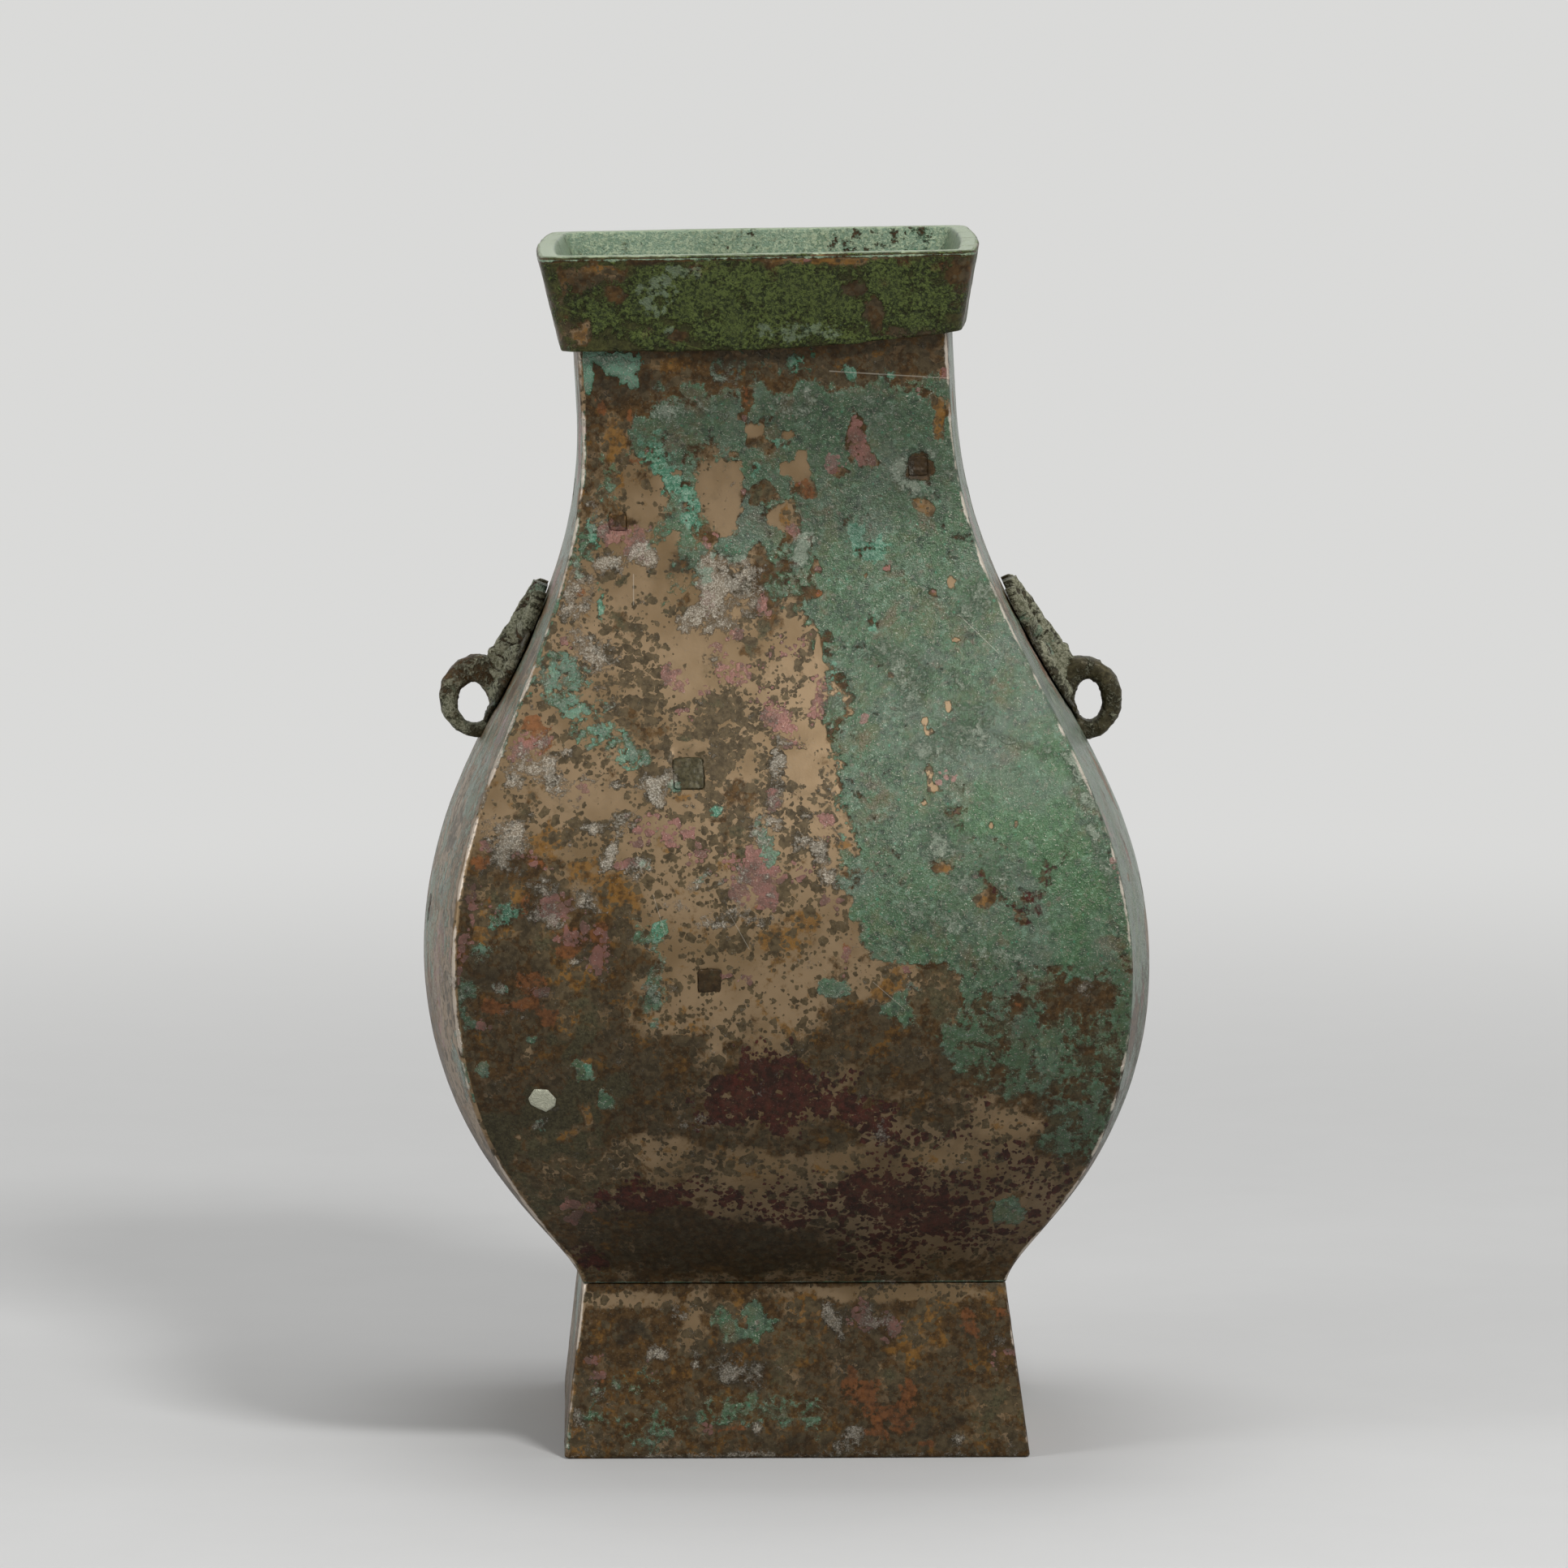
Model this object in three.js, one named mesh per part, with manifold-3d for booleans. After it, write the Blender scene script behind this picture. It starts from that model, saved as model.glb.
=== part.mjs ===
// A square bronze wine jar: bulging walls with four sharp ridges, a flared foot,
// a thick mouth collar and two animal-mask plates, each with a fixed nose loop.
// Millimetres, +Z up. The jar stands on z = 0 and its widest level is centred on the Z axis.

import * as THREE from "three";
import { mergeVertices } from "three/addons/utils/BufferGeometryUtils.js";
import Module from "manifold-3d";

const wasm = await Module();
wasm.setup();

// Heights of the sections, each from the top of the one below
const FOOT_HEIGHT = 53.4;
const BELLY_RISE = 100.3;
const SHOULDER_RISE = 164;
const NECK_RISE = 19.8;
const COLLAR_HEIGHT = 30.2;

// Half widths at the four ridges, and how far the middle of a wall stands out past them
const FOOT_BASE_HALF = 71.5;
const FOOT_TOP_HALF = 64.9;
const BODY_OVERHANG = 0.1;
const BODY_BASE_HALF = FOOT_TOP_HALF + BODY_OVERHANG;
const WIDEST_HALF = 102.5;
const NECK_HALF = 56.2;
const COLLAR_BASE_HALF = 60.8;
const RIM_HALF = 65.9;
const BASE_BULGE = 0.5;
const WIDEST_BULGE = 10;
const NECK_BULGE = 2.5;
const COLLAR_BULGE = 2.2;

// The middle of a wall is widest a little below the ridges
const BULGE_DROP = 7;

// Pull of each profile curve at its ends, as parts of its own rise
const RIDGE_PULL = { baseAngle: 0.22, base: 0.15, below: 0.65, above: 0.385, neck: 0.4 };
const MIDDLE_PULL = { baseAngle: 0.86, base: 0.33, below: 0.47, above: 0.4, neck: 0.44 };

// Walls, seats and edges
const WALL = 3.4;
const FOOT_WALL = 4.2;
const FLANGE_WIDTH = 8;
const FLANGE_THICKNESS = 3.5;
const FLOOR_THICKNESS = 3;
const RIM_WALL = 6;
const SPIGOT_HEIGHT = 8.5;
const RIM_EDGE = 1.2;
const RIDGE_EDGE = 1.1;
const RIM_CORNER = 3.2;
const CLEARANCE = 0.3;

// How the old casting stands: it leans to the left as it rises, its neck more than its belly,
// the rim is a little twisted, and it and the collar's lower edge slope down to the left
const LEAN = 0.014;
const NECK_LEAN = 0.037;
const NECK_BEND_START = 36;
const NECK_BEND_LENGTH = 50;
const RIM_TWIST = 0.019;
const RIM_TILT = 0.016;
const HEM_TILT = 0.024;

// Animal-mask plates on the left and right walls
const MASK_HEIGHT = 48;
const MASK_WIDTH = 52;
const MASK_ABOVE_WIDEST = 87;
const MASK_RELIEF = 3.0;
const MASK_BEVEL = 0.8;
const MASK_ROOT = 4;
const BROW_RELIEF = 2.4;
const EYE_RADIUS = 4.2;
const EYE_SPREAD = 10;
const EYE_LEVEL = 0.46 * MASK_HEIGHT;
const EYE_DEPTH = 0.3 * EYE_RADIUS;
const NOSE_WIDTH = 8.4;
const NOSE_RELIEF = 9;
const CREST_RELIEF = 5;

// Nose loop under each mask
const LOOP_ABOVE_WIDEST = 72.2;
const LOOP_HEIGHT = 22.5;
const LOOP_REACH = 18.2;
const LOOP_WIDTH = 8;
const LOOP_EDGE = 0.9;
const LOOP_CENTRE_SHARE = 0.3;
const HOLE_WIDTH = 9.4;
const HOLE_HEIGHT = 12.6;

// Square core spacers cast into the walls: [distance across the wall, height above the foot, side].
// A spacer's blank reaches through the wall, and is trimmed to it.
const SPACER_BLANK = 4 * WALL;
const SPACERS = {
  front: [[-29.7, 160, 9.5], [-24.9, 99, 7.5], [45.2, 249, 6], [-46.9, 233.5, 5.5], [-75.8, 61.5, 7]],
  right: [[-34, 118, 8], [30, 74, 7], [42, 146, 7.5], [-18, 236, 6]],
  back: [[28, 152, 9], [-36, 98, 7.5], [12, 60, 7], [-30, 228, 6], [60, 112, 8]],
  left: [[34, 112, 8], [-28, 70, 7.5], [-46, 138, 7], [16, 240, 6]],
};

// Fineness of the meshes
const STEPS_PER_WALL = 6;
const CURVE_SAMPLES = 80;
const BELLY_STEPS = 8;
const SHOULDER_STEPS = 11;
const BLOCK_STEPS = 26;
const OUTLINE_STEPS = 10;
const EYE_SEGMENTS = 12;
const EYE_RINGS = 8;

// Levels worked out from the heights
const BODY_BASE = FOOT_HEIGHT + CLEARANCE;
const WIDEST_LEVEL = BODY_BASE + BELLY_RISE;
const NECK_LEVEL = WIDEST_LEVEL + SHOULDER_RISE;
const COLLAR_BASE = NECK_LEVEL + NECK_RISE;
const SPIGOT_TOP = COLLAR_BASE + SPIGOT_HEIGHT;
const RIM_LEVEL = COLLAR_BASE + COLLAR_HEIGHT;

// Profile of the body: half width against height, in two curves that meet at the widest level
function bodyProfile(baseHalf, widestHalf, neckHalf, widestLevel, pull) {
  const lowRise = widestLevel - BODY_BASE;
  const highRise = NECK_LEVEL - widestLevel;
  const reach = pull.base * lowRise;
  const base = new THREE.Vector2(baseHalf, BODY_BASE);
  const flare = new THREE.Vector2(Math.sin(pull.baseAngle), Math.cos(pull.baseAngle));
  const low = new THREE.CubicBezierCurve(
    base,
    flare.multiplyScalar(reach).add(base),
    new THREE.Vector2(widestHalf, widestLevel - pull.below * lowRise),
    new THREE.Vector2(widestHalf, widestLevel),
  );
  const high = new THREE.CubicBezierCurve(
    new THREE.Vector2(widestHalf, widestLevel),
    new THREE.Vector2(widestHalf, widestLevel + pull.above * highRise),
    new THREE.Vector2(neckHalf, NECK_LEVEL - pull.neck * highRise),
    new THREE.Vector2(neckHalf, NECK_LEVEL),
  );
  return [...low.getPoints(CURVE_SAMPLES), ...high.getPoints(CURVE_SAMPLES).slice(1)];
}

const RIDGE_PROFILE = bodyProfile(BODY_BASE_HALF, WIDEST_HALF, NECK_HALF, WIDEST_LEVEL, RIDGE_PULL);
const MIDDLE_PROFILE = bodyProfile(
  BODY_BASE_HALF + BASE_BULGE,
  WIDEST_HALF + WIDEST_BULGE,
  NECK_HALF + NECK_BULGE,
  WIDEST_LEVEL - BULGE_DROP,
  MIDDLE_PULL,
);

function halfAt(profile, z) {
  if (z <= profile[0].y) return profile[0].x;
  const above = profile.findIndex((point) => point.y > z);
  if (above < 0) return profile[profile.length - 1].x;
  const [a, b] = [profile[above - 1], profile[above]];
  return a.x + ((b.x - a.x) * (z - a.y)) / (b.y - a.y);
}

// One level of a loft: a square with bowed sides, its corners cut by a small edge
function level(ridge, middle, z, corner = RIDGE_EDGE) {
  const ring = [];
  for (let side = 0; side < 4; side++) {
    for (let step = 0; step <= STEPS_PER_WALL; step++) {
      const across = (2 * step / STEPS_PER_WALL - 1) * (ridge - corner);
      const out = middle + (ridge - middle) * (across / ridge) ** 2;
      const turn = side * Math.PI / 2;
      ring.push([
        across * Math.cos(turn) + out * Math.sin(turn),
        across * Math.sin(turn) - out * Math.cos(turn),
        z,
      ]);
    }
  }
  return ring;
}

function bodyLevel(z, inset) {
  const ridge = halfAt(RIDGE_PROFILE, z) - inset;
  const middle = halfAt(MIDDLE_PROFILE, z) - inset;
  return level(ridge, Math.max(ridge, middle), z);
}

// Skin over a list of levels. A wall goes up outside and down inside and closes on itself,
// and a solid block is closed by a flat cap at each end.
function loft(levels, { hollow }) {
  const count = levels[0].length;
  const vertices = levels.flat();
  const faces = [];
  const last = hollow ? levels.length : levels.length - 1;
  for (let i = 0; i < last; i++) {
    const next = (i + 1) % levels.length;
    for (let j = 0; j < count; j++) {
      const k = (j + 1) % count;
      faces.push(i * count + j, i * count + k, next * count + k);
      faces.push(i * count + j, next * count + k, next * count + j);
    }
  }
  if (!hollow) {
    for (const [index, top] of [[0, false], [levels.length - 1, true]]) {
      const centre = vertices.length;
      vertices.push([0, 0, levels[index][0][2]]);
      for (let j = 0; j < count; j++) {
        const [a, b] = [index * count + j, index * count + ((j + 1) % count)];
        faces.push(centre, top ? a : b, top ? b : a);
      }
    }
  }
  const geometry = new THREE.BufferGeometry();
  geometry.setAttribute("position", new THREE.Float32BufferAttribute(vertices.flat(), 3));
  geometry.setIndex(faces);
  return geometry;
}

// Levels between two heights, evenly spaced, ends included
function heights(from, to, steps) {
  return Array.from({ length: steps + 1 }, (_, i) => from + ((to - from) * i) / steps);
}

// Solid and geometry, back and forth
function solidOf(geometry) {
  const bare = geometry.clone();
  bare.deleteAttribute("normal");
  bare.deleteAttribute("uv");
  const merged = mergeVertices(bare, 1e-4);
  return new wasm.Manifold(new wasm.Mesh({
    numProp: 3,
    vertProperties: new Float32Array(merged.attributes.position.array),
    triVerts: new Uint32Array(merged.index.array),
  }));
}

function geometryOf(solid) {
  const mesh = solid.getMesh();
  const geometry = new THREE.BufferGeometry();
  geometry.setAttribute("position", new THREE.BufferAttribute(mesh.vertProperties, 3));
  geometry.setIndex(new THREE.BufferAttribute(mesh.triVerts, 1));
  return geometry;
}

// How far a level of the jar stands to the right of its widest level
function leanAt(z) {
  const intoBend = z - WIDEST_LEVEL - NECK_BEND_START;
  const bent = intoBend < NECK_BEND_LENGTH
    ? Math.max(0, intoBend) ** 2 / (2 * NECK_BEND_LENGTH)
    : intoBend - NECK_BEND_LENGTH / 2;
  return -LEAN * (z - WIDEST_LEVEL) - NECK_LEAN * bent;
}

// Settles a finished piece into the jar's lean and the twist and tilt of its rim
function settle(geometry) {
  const settled = geometry.clone();
  const position = settled.attributes.position;
  for (let i = 0; i < position.count; i++) {
    const [x, y, z] = [position.getX(i), position.getY(i), position.getZ(i)];
    const rise = THREE.MathUtils.smoothstep(z, WIDEST_LEVEL, RIM_LEVEL);
    position.setXYZ(
      i,
      x + leanAt(z) + RIM_TWIST * y * rise,
      y - RIM_TWIST * x * rise,
      z + RIM_TILT * x * rise,
    );
  }
  settled.computeVertexNormals();
  return settled;
}

// Walls of belly, shoulder and neck, as one casting open at both ends
function bodyWall() {
  const outside = [
    ...heights(BODY_BASE, WIDEST_LEVEL, BELLY_STEPS),
    ...heights(WIDEST_LEVEL, NECK_LEVEL, SHOULDER_STEPS).slice(1),
    SPIGOT_TOP,
  ];
  const inside = [...outside].reverse();
  return loft([
    ...outside.map((z) => bodyLevel(z, 0)),
    ...inside.map((z) => bodyLevel(z, WALL)),
  ], { hollow: true });
}

// The jar's outer form as one block, grown by a gap, to cut the back of what is fitted on it
function bodyBlock(grown) {
  const levels = heights(BODY_BASE, SPIGOT_TOP, BLOCK_STEPS);
  return loft(levels.map((z) => bodyLevel(z, -grown)), { hollow: false });
}

function footWall() {
  const flangeHalf = FOOT_TOP_HALF - FLANGE_WIDTH;
  const underFlange = FOOT_HEIGHT - FLANGE_THICKNESS;
  const slope = (FOOT_BASE_HALF - FOOT_TOP_HALF) / FOOT_HEIGHT;
  const outsideHalf = (z) => FOOT_BASE_HALF - slope * z;
  const square = (half, z) => level(half, half, z);
  return loft([
    square(outsideHalf(0), 0),
    square(FOOT_TOP_HALF, FOOT_HEIGHT),
    square(flangeHalf, FOOT_HEIGHT),
    square(flangeHalf, underFlange),
    square(outsideHalf(underFlange) - FOOT_WALL, underFlange),
    square(outsideHalf(0) - FOOT_WALL, 0),
  ], { hollow: true });
}

// Floor of the belly, lying on the foot's flange inside the body wall
function floorPlate() {
  const inset = WALL + CLEARANCE;
  const [low, high] = [BODY_BASE, BODY_BASE + FLOOR_THICKNESS];
  const half = halfAt(RIDGE_PROFILE, low) - inset;
  return loft([level(half, half, low), level(half, half, high)], { hollow: false });
}

// Thick band round the mouth, seated over the top of the neck
function mouthCollar() {
  const low = COLLAR_BASE + CLEARANCE;
  const ledge = SPIGOT_TOP + CLEARANCE;
  const innerRim = RIM_HALF - RIM_WALL;
  const band = (half, z) => level(half, half + COLLAR_BULGE, z, RIM_CORNER);
  const tilted = (ring) => ring.map(([x, y, z]) => [x, y, z + HEM_TILT * x]);
  return loft([
    tilted(band(COLLAR_BASE_HALF, low)),
    band(RIM_HALF, RIM_LEVEL - RIM_EDGE),
    band(RIM_HALF - RIM_EDGE, RIM_LEVEL),
    band(innerRim + RIM_EDGE, RIM_LEVEL),
    band(innerRim, RIM_LEVEL - RIM_EDGE),
    bodyLevel(ledge, WALL),
    bodyLevel(ledge, -CLEARANCE),
    tilted(bodyLevel(low, -CLEARANCE)),
  ], { hollow: true });
}

// A point on the outside of a wall, and the frame there: across, up the wall, and out
const WALL_TURNS = { front: 0, right: 1, back: 2, left: 3 };

function wallPoint(wall, across, z) {
  const ridge = halfAt(RIDGE_PROFILE, z);
  const middle = halfAt(MIDDLE_PROFILE, z);
  const out = middle + (ridge - middle) * (across / ridge) ** 2;
  return new THREE.Vector3(across, -out, z).applyAxisAngle(
    new THREE.Vector3(0, 0, 1),
    WALL_TURNS[wall] * Math.PI / 2,
  );
}

function wallFrame(wall, across, z, span) {
  const sideways = wallPoint(wall, across + span, z).sub(wallPoint(wall, across - span, z)).normalize();
  const upward = wallPoint(wall, across, z + span).sub(wallPoint(wall, across, z - span)).normalize();
  const outward = new THREE.Vector3().crossVectors(sideways, upward).normalize();
  upward.crossVectors(outward, sideways);
  return new THREE.Matrix4().makeBasis(sideways, upward, outward).setPosition(wallPoint(wall, across, z));
}

// One spacer's place: the pocket through the wall, or the plug that fills it
function spacerBlock(wall, [across, rise, side], gap) {
  const z = FOOT_HEIGHT + rise;
  const block = new THREE.BoxGeometry(side + 2 * gap, side + 2 * gap, SPACER_BLANK);
  block.applyMatrix4(wallFrame(wall, across, z, side / 2));
  return solidOf(block);
}

// Half outline of the mask seen from the front, as parts of its half width and height:
// jaw at the bottom, jowl, ear, horn and the crest between the horns
const MASK_HALF_OUTLINE = [
  [0.2, 0.0], [0.34, 0.1], [0.56, 0.13], [0.8, 0.26], [0.92, 0.44], [1.0, 0.58],
  [0.9, 0.67], [0.97, 0.84], [0.82, 0.97], [0.56, 0.94], [0.36, 0.84], [0.14, 0.98],
];

function maskOutline() {
  const right = MASK_HALF_OUTLINE.map(
    ([u, v]) => new THREE.Vector2(u * MASK_WIDTH / 2, v * MASK_HEIGHT),
  );
  const left = [...right].reverse().map((point) => new THREE.Vector2(-point.x, point.y));
  return new THREE.Shape([...right, ...left]);
}

// A raised form with a bevelled edge, from a flat shape; its root starts behind the wall's face
function raised(shape, height, root, bevel) {
  const geometry = new THREE.ExtrudeGeometry(shape, {
    depth: height + root - bevel,
    bevelEnabled: true,
    bevelThickness: bevel,
    bevelSize: bevel,
    bevelOffset: -bevel,
    bevelSegments: 1,
    curveSegments: OUTLINE_STEPS,
  });
  return solidOf(geometry.translate(0, 0, -root));
}

// Brow that starts over the nose, arches over the eye and curls up into the horn
function browShape(side) {
  const [w, h] = [side * MASK_WIDTH / 2, MASK_HEIGHT];
  const points = [
    [0.1, 0.54], [0.36, 0.64], [0.62, 0.6], [0.84, 0.7], [0.82, 0.91],
    [0.62, 0.88], [0.66, 0.76], [0.4, 0.77], [0.12, 0.68],
  ].map(([u, v]) => new THREE.Vector2(u * w, v * h));
  return new THREE.Shape(side > 0 ? points : points.reverse());
}

// Jowl under each eye, curling round the end of the nose
function jowlShape(side) {
  const [w, h] = [side * MASK_WIDTH / 2, MASK_HEIGHT];
  const points = [
    [0.26, 0.14], [0.54, 0.19], [0.76, 0.31], [0.86, 0.46], [0.7, 0.5], [0.58, 0.36], [0.3, 0.28],
  ].map(([u, v]) => new THREE.Vector2(u * w, v * h));
  return new THREE.Shape(side > 0 ? points : points.reverse());
}

// Ridge of the nose, drawn from the side: from the crest it rises to the root of the loop
function noseRidge() {
  const side = new THREE.Shape([
    [0.3, -MASK_ROOT], [1.0, -MASK_ROOT], [1.0, CREST_RELIEF - MASK_BEVEL], [0.96, CREST_RELIEF],
    [0.44, NOSE_RELIEF], [0.36, NOSE_RELIEF - MASK_BEVEL],
  ].map(([v, out]) => new THREE.Vector2(v * MASK_HEIGHT, out)));
  const geometry = new THREE.ExtrudeGeometry(side, {
    depth: NOSE_WIDTH - 2 * MASK_BEVEL,
    bevelEnabled: true,
    bevelThickness: MASK_BEVEL,
    bevelSize: MASK_BEVEL,
    bevelOffset: -MASK_BEVEL,
    bevelSegments: 1,
  });
  geometry.translate(0, 0, MASK_BEVEL - NOSE_WIDTH / 2);
  const turned = new THREE.Matrix4().makeBasis(
    new THREE.Vector3(0, 1, 0),
    new THREE.Vector3(0, 0, 1),
    new THREE.Vector3(1, 0, 0),
  );
  return solidOf(geometry.applyMatrix4(turned));
}

// Nose loop: a flat band bent into a D, with its hole running along the wall
function noseLoop() {
  const z = WIDEST_LEVEL + LOOP_ABOVE_WIDEST;
  const wall = halfAt(MIDDLE_PROFILE, z);
  const outer = new THREE.Shape();
  const centre = LOOP_REACH * LOOP_CENTRE_SHARE;
  outer.absellipse(wall + centre, z, LOOP_REACH - centre, LOOP_HEIGHT / 2, 0, 2 * Math.PI);
  const hole = new THREE.Path();
  const holeCentre = wall + MASK_RELIEF + HOLE_WIDTH / 2;
  hole.absellipse(holeCentre, z, HOLE_WIDTH / 2, HOLE_HEIGHT / 2, 0, 2 * Math.PI);
  outer.holes.push(hole);
  const band = raised(outer, LOOP_WIDTH / 2, LOOP_WIDTH / 2 - LOOP_EDGE, LOOP_EDGE);
  return band.rotate([90, 0, 0]);
}

// Mask plate with its loop, for the right wall, cut at the back to lie on the bulging wall
function maskWithLoop() {
  const centre = WIDEST_LEVEL + MASK_ABOVE_WIDEST;
  const frame = wallFrame("right", 0, centre, MASK_HEIGHT / 2);
  let face = raised(maskOutline(), MASK_RELIEF, MASK_ROOT, MASK_BEVEL).add(noseRidge());
  for (const side of [-1, 1]) {
    const eye = new THREE.SphereGeometry(EYE_RADIUS, EYE_SEGMENTS, EYE_RINGS)
      .translate(side * EYE_SPREAD, EYE_LEVEL, MASK_RELIEF - EYE_DEPTH);
    face = face
      .add(raised(browShape(side), MASK_RELIEF + BROW_RELIEF, MASK_ROOT, MASK_BEVEL))
      .add(raised(jowlShape(side), MASK_RELIEF + BROW_RELIEF / 2, MASK_ROOT, MASK_BEVEL))
      .add(solidOf(eye));
  }
  return face
    .translate([0, -MASK_HEIGHT / 2, 0])
    .transform(frame.elements)
    .add(noseLoop())
    .subtract(solidOf(bodyBlock(CLEARANCE)));
}

// Patinated bronze, as the finish of each sort of piece
function bronze(color, roughness, metalness) {
  return new THREE.MeshStandardMaterial({ color, roughness, metalness });
}

const FINISH = {
  body: () => bronze(0x74643f, 0.62, 0.55),
  foot: () => bronze(0x5d4a33, 0.68, 0.5),
  collar: () => bronze(0x5f6347, 0.7, 0.45),
  floor: () => bronze(0x59705a, 0.85, 0.2),
  mask: () => bronze(0x5b6552, 0.72, 0.4),
  spacer: () => bronze(0x3f3527, 0.75, 0.4),
};

const jar = new THREE.Group();

function place(name, geometry, material) {
  const mesh = new THREE.Mesh(settle(geometry), material);
  mesh.name = name;
  jar.add(mesh);
}

// Vessel
place("foot", footWall(), FINISH.foot());
place("floor_plate", floorPlate(), FINISH.floor());
place("mouth_collar", mouthCollar(), FINISH.collar());

// Core spacers, and the body wall with a pocket for each
const wholeWall = solidOf(bodyWall());
let pierced = wholeWall;
for (const [wall, spacers] of Object.entries(SPACERS)) {
  spacers.forEach((spacer, index) => {
    const plug = spacerBlock(wall, spacer, 0).intersect(wholeWall);
    pierced = pierced.subtract(spacerBlock(wall, spacer, CLEARANCE));
    place(`spacer_${wall}_${index + 1}`, geometryOf(plug), FINISH.spacer());
  });
}
place("body_wall", geometryOf(pierced), FINISH.body());

// Masks: the left one is the right one turned half round
const rightMask = geometryOf(maskWithLoop());
place("mask_right", rightMask, FINISH.mask());
place("mask_left", rightMask.clone().rotateZ(Math.PI), FINISH.mask());

export default jar;
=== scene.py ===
"""Looks of a square bronze wine jar: aged bronze with patina, on a pale studio floor."""

import math
import random

import bpy
import numpy as np
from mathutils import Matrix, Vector, noise


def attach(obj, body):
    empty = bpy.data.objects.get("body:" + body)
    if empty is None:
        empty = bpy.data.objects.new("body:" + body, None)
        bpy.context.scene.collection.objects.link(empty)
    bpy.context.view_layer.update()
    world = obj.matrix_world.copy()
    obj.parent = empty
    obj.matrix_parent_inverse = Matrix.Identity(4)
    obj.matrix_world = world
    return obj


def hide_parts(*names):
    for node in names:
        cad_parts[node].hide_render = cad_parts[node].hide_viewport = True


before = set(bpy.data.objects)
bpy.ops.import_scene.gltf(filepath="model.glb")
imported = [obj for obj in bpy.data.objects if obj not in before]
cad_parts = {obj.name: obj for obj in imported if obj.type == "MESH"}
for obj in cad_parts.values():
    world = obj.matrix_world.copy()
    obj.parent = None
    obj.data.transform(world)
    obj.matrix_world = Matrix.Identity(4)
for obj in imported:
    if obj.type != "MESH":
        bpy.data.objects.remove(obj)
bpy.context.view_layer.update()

MM = 0.001

# Levels and half widths of the jar, in millimetres, as the CAD model has them
FOOT_HEIGHT = 53.4
BELLY_RISE = 100.3
SHOULDER_RISE = 164
NECK_RISE = 19.8
COLLAR_HEIGHT = 30.2
FOOT_BASE_HALF = 71.5
FOOT_TOP_HALF = 64.9
BODY_BASE_HALF = 65.0
WIDEST_HALF = 102.5
NECK_HALF = 56.2
COLLAR_BASE_HALF = 60.8
RIM_HALF = 65.9
BASE_BULGE = 0.5
WIDEST_BULGE = 10
NECK_BULGE = 2.5
COLLAR_BULGE = 2.2
BULGE_DROP = 7
RIDGE_PULL = {"base_angle": 0.22, "base": 0.15, "below": 0.65, "above": 0.385, "neck": 0.4}
MIDDLE_PULL = {"base_angle": 0.86, "base": 0.33, "below": 0.47, "above": 0.4, "neck": 0.44}
WALL = 3.4
FOOT_WALL = 4.2
FLANGE_WIDTH = 8
FLANGE_THICKNESS = 3.5
FLOOR_THICKNESS = 3
RIM_WALL = 6
SPIGOT_HEIGHT = 8.5
CLEARANCE = 0.3
LEAN = 0.014
NECK_LEAN = 0.037
NECK_BEND_START = 36
NECK_BEND_LENGTH = 50
RIM_TWIST = 0.019
RIM_TILT = 0.016

BODY_BASE = FOOT_HEIGHT + CLEARANCE
WIDEST_LEVEL = BODY_BASE + BELLY_RISE
NECK_LEVEL = WIDEST_LEVEL + SHOULDER_RISE
COLLAR_BASE = NECK_LEVEL + NECK_RISE
SPIGOT_TOP = COLLAR_BASE + SPIGOT_HEIGHT
RIM_LEVEL = COLLAR_BASE + COLLAR_HEIGHT

# Core spacers, as in the CAD model: [distance across the wall, height above the foot, side]
WALLS = ("front", "right", "back", "left")
SPACERS = {
    "front": [(-29.7, 160, 9.5), (-24.9, 99, 7.5), (45.2, 249, 6), (-46.9, 233.5, 5.5), (-75.8, 61.5, 7)],
    "right": [(-34, 118, 8), (30, 74, 7), (42, 146, 7.5), (-18, 236, 6)],
    "back": [(28, 152, 9), (-36, 98, 7.5), (12, 60, 7), (-30, 228, 6), (60, 112, 8)],
    "left": [(34, 112, 8), (-28, 70, 7.5), (-46, 138, 7), (16, 240, 6)],
}

# The photograph's camera, worked out from the rim, ridges and foot
AIM = Vector((-0.5, 0.0, 199.3)) * MM
CAMERA_DISTANCE = 3200 * MM
CAMERA_RISE = 359.7 * MM
JAR_YAW = math.radians(1.14)
LENS = 238.4


# Noise and smooth steps on arrays of points in millimetres

def fractal(points, size, octaves=4, fade=0.9, shift=0.0):
    """Noise about 0 whose largest waves are as long as size, at points of shape (..., 3)."""
    flat = (points.reshape(-1, 3) / size + shift).tolist()
    values = np.array([noise.fractal(p, fade, 2.0, octaves) for p in flat])
    return values.reshape(points.shape[:-1])


def smooth(value, low, high):
    t = np.clip((value - low) / (high - low), 0, 1)
    return t * t * (3 - 2 * t)


# Form of the body wall

def curve(points, count=160):
    t = np.linspace(0, 1, count)[:, None]
    p = np.array(points, float)
    return (1 - t) ** 3 * p[0] + 3 * t * (1 - t) ** 2 * p[1] + 3 * t**2 * (1 - t) * p[2] + t**3 * p[3]


def body_profile(base, widest, neck, level, pull):
    """Half width at any height, from two curves that meet at the widest level."""
    low, high = level - BODY_BASE, NECK_LEVEL - level
    reach = pull["base"] * low
    angle = pull["base_angle"]
    below = curve([
        (base, BODY_BASE),
        (base + reach * math.sin(angle), BODY_BASE + reach * math.cos(angle)),
        (widest, level - pull["below"] * low),
        (widest, level),
    ])
    above = curve([
        (widest, level),
        (widest, level + pull["above"] * high),
        (neck, NECK_LEVEL - pull["neck"] * high),
        (neck, NECK_LEVEL),
    ])
    points = np.vstack([below, above[1:]])
    return lambda z: np.interp(z, points[:, 1], points[:, 0])


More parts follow.
